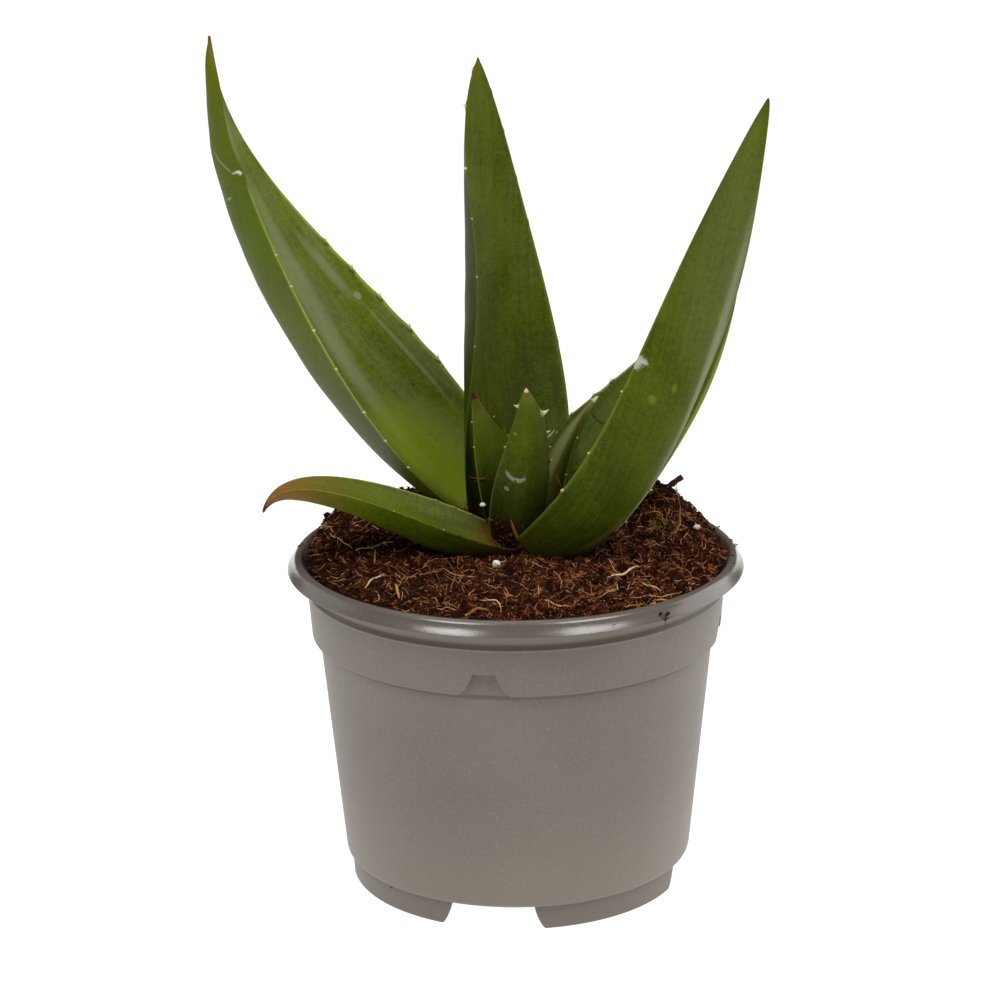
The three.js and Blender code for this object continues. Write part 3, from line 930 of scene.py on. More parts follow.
class Rosette:
    """The eight leaves, from the innermost outwards."""

    WHITE_SCAR = "#d3d2bf"
    GREY_SCAR = "#a9ae98"
    YELLOW = "#8f9a12"
    DARK = "#20240a"
    RUST = "#5c1c10"

    def __init__(self) -> None:
        """Give every leaf its form and finish."""
        self.leaves = [self.inner_right(), self.inner_left(), self.front_small(),
                       self.right_rear(), self.centre_tall(), self.right_tall(),
                       self.left_tall(), self.low_left()]

    def inner_right(self) -> Leaf:
        """Return the youngest leaf, with a pale streak of painted highlight down its channel and painted
        shade on its other half.
        """
        finish = LeafFinish(
            "inner_right_skin", Slot.YOUNG_LEAF, deep="#363904", fresh="#545708",
            # The dark foot is painted shade deep in the crown.
            tip="#7d7c3e", spine="#e2cdb0", spine_from=0.965, foot="#181408",
            foot_to=0.5, marks=(
                # A painted highlight on the lit half of the channel, then painted shade on the other
                # half.
                Mark(0.68, 0.42, 0.36, 0.4, "#888e58", 0.8, False, slant=-0.3, ragged=0.4, core=0.0),
                Mark(0.6, -0.5, 0.4, 0.5, "#1c1e03", 0.6, False, core=0.0)))
        return Leaf("inner_right", ((4, 1, 90), (8.5, 3, 104), (9.5, 4, 116.5), (21.5, 6, 128.5)),
                    17, 0.64, 0.6, 4.5, (0.45, 0.3), (40, 40, 40), finish,
                    (((0.5, 0.6), (0.75, 0.6)), ((0.4, 0.6), (0.7, 0.6))), rings=90, sides=56,
                    seed=3)

    def inner_left(self) -> Leaf:
        """Return the small leaf on the left of the crown, reddish along one edge."""
        finish = LeafFinish(
            "inner_left_skin", Slot.YOUNG_LEAF, deep="#444f04", fresh="#5c6808",
            tip="#4e4a10", tip_from=0.85, spine="#4a1c10", spine_from=0.965,
            foot="#23200a", foot_to=0.4, margin_share=0.9, marks=(
                Mark(0.74, -0.95, 0.24, 0.12, "#50200f", 0.8, ragged=0.5),
                Mark(0.74, -0.95, 0.24, 0.12, "#50200f", 0.8, False, ragged=0.5),
                Mark(0.5, 0.95, 0.5, 0.12, "#8c9a3a", 0.8, ragged=0.4),
                Mark(0.1, 0.1, 0.07, 1.2, "#2c1408", 0.9, ragged=2.0)))
        return Leaf("inner_left", ((-1.5, 1, 90), (-6, 2, 126), (-7, 1.5, 116.5), (-10.5, 2, 130.5)),
                    16, 0.63, 0.6, 4, (0.45, 0.3), (123, 123, 126), finish,
                    (((0.45, 0.5), (0.72, 0.5)), ((0.5, 0.5), (0.8, 0.5))), rings=90, sides=56,
                    seed=4)

    def front_small(self) -> Leaf:
        """Return the small leaf in front, with a white spine and a crescent scar."""
        finish = LeafFinish(
            "front_small_skin", Slot.YOUNG_LEAF, deep="#343f03", fresh="#505c07",
            back_share=0.0, tip="#66701c", spine="#e2cdb8", spine_from=0.98,
            # The near-black foot is painted shade deep in the crown.
            foot="#0b0b02", foot_to=0.46, marks=(
                Mark(0.07, -0.5, 0.08, 0.5, "#1c0c05", 0.9, ragged=2.4),
                Mark(0.965, 0.0, 0.016, 1.2, "#7a3a22", 0.6, ragged=0.5, core=0.0),
                Mark(0.392, -0.46, 0.04, 0.36, self.GREY_SCAR, 0.6, bite=(0.6, 0.0), ragged=1.1),
                Mark(0.362, -0.45, 0.007, 0.05, self.DARK, 0.8),
                Mark(0.3, -0.66, 0.012, 0.08, self.GREY_SCAR, 0.45, ragged=1.2),
                Mark(0.686, -0.8, 0.012, 0.08, self.YELLOW, 0.6),
                Mark(0.554, 0.95, 0.012, 0.07, self.RUST, 0.8),
                Mark(0.46, 0.95, 0.012, 0.07, self.RUST, 0.8)))
        return Leaf("front_small", ((-1.5, -2, 90), (3, -5.5, 116), (4.5, -6, 120), (3, -8, 134.5)),
                    19, 0.62, 0.45, 5, (0.45, 0.3), (-80, -80, -80), finish,
                    (((0.55, 0.6), (0.89, 1.3)),
                     ((0.46, 0.7), (0.554, 0.7), (0.667, 1.2), (0.811, 2.3))),
                    rings=110, sides=64, seed=5)

    def right_rear(self) -> Leaf:
        """Return the leaf behind on the right, grey-green inside."""
        finish = LeafFinish(
            "right_rear_skin", Slot.LEAF, bloom_and_sheen_share=0.25, back_tint="#7d8a4a",
            back_share=0.25, margin="#d0d49c", margin_share=0.9, marks=(
                Mark(0.72, -0.97, 0.34, 0.17, "#a9b45a", 0.6, ragged=0.5, core=0.0),
                Mark(0.72, -0.99, 0.34, 0.15, "#a9b45a", 0.6, False, ragged=0.5, core=0.0),
                Mark(0.93, -1.0, 0.05, 0.2, "#6e3a20", 0.6, False, core=0.0),
                Mark(0.41, 0.69, 0.012, 0.14, self.DARK, 0.5, False, (0.7, 0.0)),
                Mark(0.597, -0.9, 0.006, 0.07, self.RUST, 0.9)))
        return Leaf("right_rear", ((4, 3, 88), (28, 16, 118), (40, 17.5, 119.5), (59.5, 29.5, 159)),
                    41, 0.58, 0.46, 6.5, (0.5, 0.35), (75, 75, 60), finish,
                    (((0.2, 0.8), (0.33, 0.8)),
                     ((0.25, 0.8), (0.36, 0.9), (0.459, 1.2), (0.539, 1.2))),
                    dents=(Dent(0.74, 0.2, 0.6, 0.0),), seed=6)

    def centre_tall(self) -> Leaf:
        """Return the upright leaf in the middle, seen from inside."""
        finish = LeafFinish(
            # The dark back tint is painted shade on the back, which faces away from the light.
            "centre_tall_skin", Slot.LEAF, bloom_and_sheen_share=0.1, back_tint="#343f05",
            back_share=0.8, margin_share=0.5, tip_from=0.93,
            spine="#7a4a20", spine_from=0.988)
        return Leaf("centre_tall", ((-1, 4.5, 88.5), (7, 17.5, 163), (-8, 27, 173), (-8.5, 30, 213.5)),
                    44, 0.73, 0.45, 6, (0.71, 0.46), (102, 190, 98), finish,
                    (((0.3, 0.6), (0.45, 0.6), (0.572, 0.7), (0.691, 0.7), (0.822, 0.7),
                      (0.924, 0.6)),
                     ((0.3, 0.5), (0.45, 0.6), (0.6, 0.6), (0.738, 1.1), (0.896, 1.1),
                      (0.977, 0.8))), seed=7)

    def right_tall(self) -> Leaf:
        """Return the big leaf on the right, seen from outside."""
        finish = LeafFinish(
            "right_tall_skin", Slot.LEAF, back_share=0.0, tip_from=0.95,
            tip="#4c5208", spine="#5a3018", spine_from=0.992, marks=(
                Mark(0.522, -0.93, 0.018, 0.13, "#c4c8b8", 0.8, bite=(-0.55, 0.75), ragged=2.6, core=0.3),
                # Painted sheen over the upper leaf.
                Mark(0.77, 0.1, 0.26, 1.2, "#7c8460", 0.15, ragged=0.4, core=0.0),
                # A painted highlight along the right edge.
                Mark(0.55, 0.58, 0.36, 0.22, "#a3aa8c", 0.34, slant=1.2, ragged=0.6, core=0.0),
                Mark(0.474, -0.587, 0.012, 0.09, self.YELLOW, 0.4, core=0.0),
                Mark(0.512, -0.25, 0.011, 0.08, self.YELLOW, 0.35, core=0.0),
                Mark(0.14, -0.14, 0.1, 0.14, "#7c7434", 0.5, slant=3.1, ragged=1.0, core=0.0)))
        return Leaf("right_tall", ((5.5, -4, 94.5), (35, -20, 120), (45, -28, 155), (62, -35, 213.5)),
                    33, 0.59, 0.61, 7, (0.48, 0.36), (-42, -42, -140), finish,
                    (((0.187, 1.7), (0.298, 1.0), (0.453, 0.8)),
                     ((0.15, 0.8), (0.27, 0.8), (0.4, 0.7))), seed=8)

    def left_tall(self) -> Leaf:
        """Return the big leaf on the left, torn and creased near its tip."""
        finish = LeafFinish(
            "left_tall_skin", Slot.LEAF, deep="#4b5806", fresh="#70800f",
            bloom_and_sheen_share=0.4, back_tint="#485206", back_share=0.65,
            margin="#abb63e", margin_share=0.9, margin_to=0.6, tip_from=0.72,
            tip="#5f6406", tooth_base="#a3ab52", marks=(
                Mark(0.663, 0.87, 0.007, 0.11, self.WHITE_SCAR, 0.95, bite=(-0.5, -0.5), ragged=2.8),
                Mark(0.656, 0.97, 0.007, 0.06, self.WHITE_SCAR, 0.9, False, ragged=2.0),
                Mark(0.75, 0.99, 0.09, 0.07, "#8b9370", 0.6, ragged=0.5, core=0.0),
                Mark(0.702, 0.59, 0.036, 0.03, self.GREY_SCAR, 0.35, slant=-6.2, ragged=0.3),
                Mark(0.624, 0.525, 0.003, 0.09, self.GREY_SCAR, 0.5, ragged=1.0),
                Mark(0.55, 0.84, 0.12, 0.18, "#4f6a0a", 0.5, core=0.0),
                Mark(0.344, -0.85, 0.008, 0.035, self.GREY_SCAR, 0.45, False, ragged=1.6),
                # Painted sheen down the channel, then painted highlights along its folds.
                Mark(0.4, -0.36, 0.3, 0.2, "#a3aa88", 0.38, False, slant=-1.04, ragged=0.8, core=0.0),
                Mark(0.42, -0.8, 0.1, 0.06, "#a3aa88", 0.32, False, ragged=0.9, core=0.0),
                Mark(0.24, -0.84, 0.12, 0.025, "#a3aa88", 0.3, False, ragged=0.9, core=0.0),
                # Painted light on the lower channel.
                Mark(0.1, -0.1, 0.13, 0.8, "#97a61c", 0.6, False, core=0.0)))
        return Leaf("left_tall", ((1.5, 8, 90), (-56, 28.5, 161), (-73.5, 20, 186), (-78.5, 36, 219)),
                    46, 0.66, 0.13, 7, (1.09, 0.22), (111, 177, 192), finish,
                    (((0.206, 1.7), (0.261, 1.8), (0.322, 1.9), (0.384, 1.9), (0.448, 1.7)),
                     ((0.128, 0.7), (0.169, 0.8), (0.213, 0.9), (0.282, 0.9), (0.347, 1.0),
                      (0.426, 0.9), (0.486, 0.8))),
                    dents=(Dent(0.93, 0.05, -1.2, -1.5), Dent(0.7, 0.03, 0.0, -0.8),
                           Dent(0.64, 0.025, 0.0, 0.4)),
                    ridges=(Ridge(-0.85, 0.05, 0.15, 0.52, 0.3),),
                    rings=200, seed=9)

    def low_left(self) -> Leaf:
        """Return the low leaf that bends over on the left, browned at both ends."""
        finish = LeafFinish(
            "low_left_skin", Slot.LEAF, deep="#3e4903", fresh="#626d08",
            margin="#a3ab4a", margin_share=0.9, tip="#8a5e2a", tip_from=0.42,
            spine="#5c2a12", spine_from=0.95, foot="#66340f", foot_to=0.2)
        return Leaf("low_left", ((2, -6.5, 92), (-26, -13, 105), (-59, -17.5, 122.5), (-65, -16, 105)),
                    24, 0.64, 0.2, 6, (0.53, 0.3), (170, 170, 185), finish,
                    (((0.062, 0.6), (0.08, 0.6), (0.104, 0.8), (0.142, 0.9), (0.194, 0.9),
                      (0.247, 0.9), (0.4, 0.5)), ((0.25, 0.6), (0.4, 0.5))), seed=10)

    def build(self) -> None:
        """Build every leaf."""
        for leaf in self.leaves:
            leaf.build()


# ---------------------------------------------------------------- stem


@dataclass(frozen=True)
class StemFinish:
    """Pale fibrous skin, ringed where old leaves have been."""

    young: Colour = "#8b8a45"
    woody: Colour = "#5a4226"

    def material(self) -> bpy.types.Material:
        """Return the stem's material."""
        palette = Palette("stem_skin")
        at = palette.place()
        rings = palette.noise(palette.stretched(at, (60.0, 60.0, 700.0)), 1.0, 3.0)
        colour = palette.mix(rings.rise(0.35, 0.65), self.young, self.woody)
        return palette.finish(Base_Color=colour, Roughness=0.6 + rings * 0.2,
                              Normal=palette.bump(rings, 0.0004))


@dataclass
class Stem:
    """The short stem under the leaf bases."""

    radius: float = 4.0
    top_radius: float = 2.6
    bottom: float = 66.0
    shoulder: float = 87.8
    top: float = 98.0
    finish: StemFinish = field(default_factory=StemFinish)

    SIDES = 40
    RINGS = 40
    SCAR_DEPTH = 0.15
    SCAR_TURN = 2.6

    def build(self) -> bpy.types.Object:
        """Build the stem in place of its CAD node."""
        shape = closed_tube(self.SIDES, self.RINGS)
        for vertex in shape.verts:
            share = vertex.co.z
            height = lerp(self.bottom, self.top, share)
            radius = lerp(self.radius, self.top_radius,
                          smoothstep(height, self.shoulder, self.top - 1))
            radius *= 1 - 0.5 * smoothstep(share, 0.97, 1.0)
            radius += self.SCAR_DEPTH * math.sin(height * self.SCAR_TURN)
            vertex.co = placed(Vector((vertex.co.x * radius, vertex.co.y * radius, height)))
        return mesh_object("short_stem", mesh_from(facing_out(shape)), self.finish.material(),
                           Slot.STEM, ["stem"])


# ---------------------------------------------------------------- pot


@dataclass(frozen=True)
class PotFinish:
    """Taupe moulded plastic with fine pale specks, smoother and dirtier at the rim.

    The painted shadow under the band and the painted light on the neck under the lip are bands of height,
    whose two edges each fade from one height to another.
    """

    body: Colour = "#776d63"
    shade: Colour = "#70675d"
    speck: Colour = "#948a7c"
    # A darker tint of the rim, also the colour of a painted shadow.
    rim_and_shade_tint: Colour = "#4c4640"
    dirt: Colour = "#2e2018"
    rim_from: float = 83.0
    rim_top: float = 88.7
    grime_depth: float = 2.5
    foot_top: float = 6.5
    band_shadow: tuple[Pair, Pair] = ((65.5, 66.2), (67.15, 67.2))
    neck: tuple[Pair, Pair] = ((80.1, 80.8), (84.2, 84.8))

    def material(self) -> bpy.types.Material:
        """Return the pot's material."""
        palette = Palette("pot_plastic")
        at = palette.place()
        height = palette.split(at)[2] * (1 / MM)
        clouds = palette.noise(at, 28.0, 3.0)
        colour = palette.mix(clouds.rise(0.3, 0.7), self.shade, self.body)
        grain = palette.noise(at, 1300.0, 2.0, 0.6)
        colour = palette.mix(grain.rise(0.5, 0.72) * 0.3, colour, self.speck)
        specks = palette.flecks(at, 640.0, 0.2, 0.2)
        colour = palette.mix(specks * 0.25, colour, self.speck)
        low = height.fall(self.foot_top, self.foot_top + 0.3)
        # Painted light: the lower body is paler, as the floor lights it from below.
        pale = height.fall(0.5 * self.foot_top, 6 * self.foot_top)
        colour = palette.mix(pale * 0.35, colour, self.speck)
        # Painted shadow: a dark line on the body just under the band; the feet are darker too.
        band_shadow = height.band(*self.band_shadow)
        colour = palette.mix(low * 0.3 + band_shadow * 0.6, colour, self.rim_and_shade_tint)
        rim = height.rise(self.rim_from, self.rim_from + 1)
        colour = palette.mix(rim * 0.45, colour, self.rim_and_shade_tint)
        # Painted light: the shaded neck under the lip is lightened.
        colour = palette.mix(height.band(*self.neck) * 0.6, colour, self.speck)
        dust = palette.noise(at, 420.0, 5.0, 0.75)
        grime = dust.rise(0.57, 0.66) * height.rise(self.rim_top - self.grime_depth, self.rim_top)
        colour = palette.mix(grime * 0.55, colour, self.dirt)
        roughness = 0.42 + clouds * 0.06 - rim * 0.25 + grime * 0.3
        rough = palette.bump(grain, 0.00004)
        return palette.finish(Base_Color=colour, Roughness=roughness, Normal=rough,
                              Coat_Weight=(rim * 0.55).both(1.0 - grime), Coat_Roughness=0.2)


@dataclass(frozen=True)
class Corner:
    """One corner of a profile: its radius and height, and how round it is."""

    radius: float
    height: float
    rounding: float = 0.0


@dataclass
class Pot:
    """A round nursery pot: tapered body, notched band, rolled rim and four feet."""

    wall: float = 1.2
    foot_radius: float = 44.4
    foot_width: float = 2.8
    foot_height: float = 6.5
    base_radius: float = 45.9
    body_top_radius: float = 51.9
    band_bottom: float = 67.2
    band_bottom_radius: float = 53.9
    band_top: float = 80.5
    band_top_radius: float = 54.9
    neck_radius: float = 54.3
    lip_bottom: float = 84.9
    rim_radius: float = 60.0
    rim_top: float = 88.7
    mouth_radius: float = 56.1
    quarters: tuple[float, ...] = (-9, 81, 171, 261)
    notch_height: float = 6.0
    notch_top_width: float = 5.8
    notch_bottom_width: float = 14.2
    notch_flare: float = 1.6
    notch_margin: float = 0.4
    gap_top_width: float = 21.5
    gap_bottom_width: float = 30.0
    gap_flare: float = 1.2
    drain_radius: float = 4.0
    drain_circle: float = 35.0
    drain_spread: float = 15.0
    finish: PotFinish = field(default_factory=PotFinish)

    STEPS = 192
    ARC_STEPS = 5
    FLARE_STEPS = 8
    FLARE_LEAN = 0.3
    DRAIN_SIDES = 32
    DRAIN_DEPTH = 6

    def outline(self) -> list[Corner]:
        """Return the wall's profile, up the outside and down the inside, from axis to axis."""
        floor = self.foot_height + self.wall
        return [
            Corner(0, self.foot_height),
            Corner(self.base_radius, self.foot_height, 1.6),
            Corner(self.body_top_radius, self.band_bottom - 0.1, 0.3),
            Corner(self.band_bottom_radius - 0.1, self.band_bottom, 0.6),
            Corner(self.band_top_radius - 0.1, self.band_top - 1.0, 0.2),
            Corner(self.band_top_radius + 0.3, self.band_top - 0.6, 0.3),
            Corner(self.band_top_radius, self.band_top, 0.4),
            Corner(self.neck_radius, self.band_top + 0.7, 0.5),
            Corner(self.neck_radius, self.lip_bottom - 0.2, 0.4),
            Corner(self.rim_radius - 0.5, self.lip_bottom, 0.1),
            Corner(self.rim_radius, self.lip_bottom + 0.15, 0.2),
            Corner(self.rim_radius - 1.4, self.rim_top - 1.8, 1.3),
            Corner(self.rim_radius - 2.0, self.rim_top - 0.45, 0.9),
            Corner(self.mouth_radius + 0.6, self.rim_top, 0.5),
            Corner(self.mouth_radius, self.rim_top - 0.4, 0.4),
            Corner(self.neck_radius - self.wall, self.lip_bottom - 0.6, 0.5),
            Corner(self.neck_radius - self.wall, self.band_top),
            Corner(self.band_bottom_radius - self.wall, self.band_bottom + self.wall),
            Corner(self.body_top_radius - self.wall, self.band_bottom),
            Corner(self.base_radius - self.wall, floor, 1.2),
            Corner(0, floor),
        ]

    def rounded(self, corners: Sequence[Corner]) -> list[Vector]:
        """Return a profile's points, with an arc at each rounded corner.

        Args:
            corners: The profile's corners in order.

        Returns:
            Points in the X-Z plane, in millimetres.
        """
        places = [Vector((corner.radius, 0, corner.height)) for corner in corners]
        points = []
        for index, (corner, place) in enumerate(zip(corners, places)):
            if not corner.rounding or index in (0, len(corners) - 1):
                points.append(place)
                continue
            before = places[index - 1] - place
            after = places[index + 1] - place
            start = place + before.normalized() * min(corner.rounding, before.length / 2)
            end = place + after.normalized() * min(corner.rounding, after.length / 2)
            points += [bent(start, place, end, step / self.ARC_STEPS)
                       for step in range(self.ARC_STEPS + 1)]
        return points

    @staticmethod
    def prism(outline: Sequence[Pair], low: float, high: float,
              degrees: float) -> bmesh.types.BMesh:
        """Push a flat outline outwards between two radii.

        Args:
            outline: Points as a distance sideways and a height.
            low: The radius of its inner face.
            high: The radius of its outer face.
            degrees: Its direction, from the front towards +X.

        Returns:
            The closed prism, in millimetres.
        """
        shape = bmesh.new()
        verts = [shape.verts.new((across, -low, height)) for across, height in outline]
        face = shape.faces.new(verts)
        pushed = bmesh.ops.extrude_face_region(shape, geom=[face])["geom"]
        moved = [part for part in pushed if isinstance(part, bmesh.types.BMVert)]
        bmesh.ops.translate(shape, verts=moved, vec=(0, low - high, 0))
        facing_out(shape)
        bmesh.ops.rotate(shape, verts=shape.verts, cent=(0, 0, 0),
                         matrix=Matrix.Rotation(math.radians(degrees), 3, "Z"))
        return shape

    def flared(self, top: float, bottom: float, low: float, high: float,
               flare: float) -> list[Pair]:
        """Return an outline with a flat top whose sides curve outwards as they come down.

        Args:
            top: Half the width at the top.
            bottom: Half the width at the bottom.
            low: The bottom's height.
            high: The top's height.
            flare: How far above the bottom the curve bends.

        Returns:
            Distances sideways and heights, round the outline.
        """
        shares = [step / self.FLARE_STEPS for step in range(self.FLARE_STEPS + 1)]
        right = [(bent(top, lerp(top, bottom, self.FLARE_LEAN), bottom, share),
                  bent(high, low + flare, low, share)) for share in shares]
        return right + [(-across, height) for across, height in reversed(right)]

    def notch_steps(self) -> Iterator[tuple[str, bmesh.types.BMesh]]:
        """Yield what makes the four notches: a thicker wall behind, then the notch itself."""
        half = self.notch_bottom_width / 2
        wide = half + self.notch_margin
        top = self.band_bottom + self.notch_height
        bottom = self.band_bottom - 0.05
        backing = [(-wide, bottom), (wide, bottom), (wide, top + 1), (-wide, top + 1)]
        opening = self.flared(self.notch_top_width / 2, half, self.band_bottom - 0.12, top,
                              self.notch_flare)
        below = self.band_bottom - self.wall
        turn = self.FLARE_STEPS + 1
        opening[turn:turn] = [(half, below), (-half, below)]
        for degrees in self.quarters:
            yield "UNION", self.prism(backing, self.body_top_radius - self.wall,
                                      self.band_bottom_radius - 0.9, degrees)
            yield "DIFFERENCE", self.prism(opening, self.body_top_radius + 0.35, self.rim_radius,
                                           degrees)

    def drain_steps(self) -> Iterator[tuple[str, bmesh.types.BMesh]]:
        """Yield the holes in the pot's floor, two over each gap between the feet."""
        for quarter in self.quarters:
            for degrees in (quarter - self.drain_spread, quarter + self.drain_spread):
                angle = math.radians(degrees)
                middle = Vector((math.sin(angle), -math.cos(angle), 0)) * self.drain_circle
                hole = bmesh.new()
                bmesh.ops.create_cone(hole, cap_ends=True, segments=self.DRAIN_SIDES,
                                      radius1=self.drain_radius, radius2=self.drain_radius,
                                      depth=self.DRAIN_DEPTH,
                                      matrix=Matrix.Translation(middle + UP * self.foot_height))
                yield "DIFFERENCE", hole

    def feet(self) -> bmesh.types.BMesh:
        """Return the ring that stands under the base, cut into four feet."""
        inner = self.foot_radius - self.foot_width
        sunk = self.foot_height + 0.4
        ring = self.rounded([Corner(inner, sunk), Corner(inner, 0, 0.3),
                             Corner(self.foot_radius - 0.1, 0, 0.5),
                             Corner(self.foot_radius + 0.2, sunk)])
        outline = self.flared(self.gap_top_width / 2, self.gap_bottom_width / 2, -1.0,
                              self.foot_height, self.gap_flare)
        gaps = [("DIFFERENCE", self.prism(outline, self.foot_radius - 14, self.foot_radius + 3,
                                          degrees)) for degrees in self.quarters]
        cut = joined(mesh_from(spun(ring, self.STEPS, closed=True)), gaps)
        shape = bmesh.new()
        shape.from_mesh(cut)
        return shape

    def build(self) -> bpy.types.Object:
        """Build the pot in place of its CAD node."""
        body = mesh_from(spun(self.rounded(self.outline()), self.STEPS))
        steps = [("UNION", self.feet()), *self.notch_steps(), *self.drain_steps()]
        mesh = joined(body, steps)
        mesh.transform(Matrix.Translation(AXIS) @ Matrix.Scale(MM, 4))
        return mesh_object("nursery_pot", mesh, self.finish.material(), Slot.POT, ["pot"], sharp=32)


# ---------------------------------------------------------------- soil


@dataclass(frozen=True)
class SoilFinish:
    """Dark moist coir, redder and lighter where it has dried."""

    wet_and_shade: Colour = "#0b0402"
    damp: Colour = "#33150a"
    dry: Colour = "#854724"

    def material(self) -> bpy.types.Material:
        """Return the material of the root ball's surface."""
        palette = Palette("coir")
        at = palette.place()
        coarse = palette.noise(at, 330.0, 4.0, 0.65)
        fine = palette.noise(at, 1200.0, 4.0, 0.7)
        open_air = palette.split(palette.attribute("litter"))[0]
        shade = coarse * 0.5 + fine * 0.5
        colour = palette.ramp(shade, (0.42, self.wet_and_shade), (0.52, self.damp), (0.63, self.dry))
        # Painted shade: the pits darken to the wettest colour, by how open they are to the light.
        colour = palette.mix(open_air.rise(0.2, 0.7), self.wet_and_shade, colour)
        return palette.finish(Base_Color=colour, Roughness=0.85 + fine * 0.1,
                              Normal=palette.bump(shade, 0.0012), Specular_IOR_Level=0.1)


@dataclass(frozen=True)
class LitterFinish:
    """Scraps and fibres, each with a shade of its own, from dark to light, in the litter attribute."""

    name: str
    shades: tuple[Colour, ...]
    roughness: float = 0.75

    def material(self) -> bpy.types.Material:
        """Return the material of loose scraps."""
        palette = Palette(self.name)
        own = palette.split(palette.attribute("litter"))[0]
        at = palette.place()
        grain = palette.noise(at, 1600.0, 2.0)
        last = len(self.shades) - 1
        stops = [(step / last, shade) for step, shade in enumerate(self.shades)]
        colour = palette.ramp(own * 0.85 + grain * 0.3 - 0.08, *stops)
        return palette.finish(Base_Color=colour, Roughness=self.roughness + grain * 0.15,
                              Normal=palette.bump(grain, 0.0001), Specular_IOR_Level=0.12)


DARK_CRUMB = LitterFinish("coir_crumb", ("#090302", "#240e06", "#48200e", "#804422"))
CAUGHT_CRUMB = LitterFinish("caught_crumb", ("#160905", "#3a1a0c", "#7c4a26", "#b98a56"))
BROWN_FIBRE = LitterFinish("coir_fibre", ("#1a0904", "#4c2210", "#9c5629", "#dc9858"))
DRY_FIBRE = LitterFinish("dry_fibre", ("#8a5528", "#b07a42", "#d0a066", "#e8c898"))
PALE_FLECK = LitterFinish("pale_fleck", ("#6a3a1c", "#a06a38", "#cc9c64", "#e2c094"))
CROWN_SCRAP = LitterFinish("crown_scrap", ("#5c2c14", "#8a5228", "#b98a5c"))
MOSS = LitterFinish("moss", ("#4a4a0c", "#7e7a18", "#b3a63a"))


@dataclass(frozen=True)
class Heap:
    """A low mound on the soil."""

    at: Pair
    height: float
    spread: float


@dataclass(frozen=True)
class Crumb:
    """A crumb of soil: its middle, its radius and its shade from dark to light."""

    middle: Vector
    size: float
    shade: float


@dataclass(frozen=True)
class Fibre:
    """A fibre with a place of its own on the soil.

    bow is how far its middle is pushed sideways. lift is its height above the soil at its start,
    and rise how much higher it ends.
    """

    start: Pair
    end: Pair
    thickness: float
    bow: float = 0.0
    lift: float = 0.5
    rise: float = 0.0


@dataclass(frozen=True)
class Strewing:
    """Fibres strewn at random: how many, and the ranges of their lengths and thicknesses.

    curl is how far a fibre may turn at each of its steps, in radians.
    """

    name: str
    count: int
    lengths: Pair
    thicknesses: Pair
    curl: float
    steps: int
    finish: LitterFinish
    seed: int


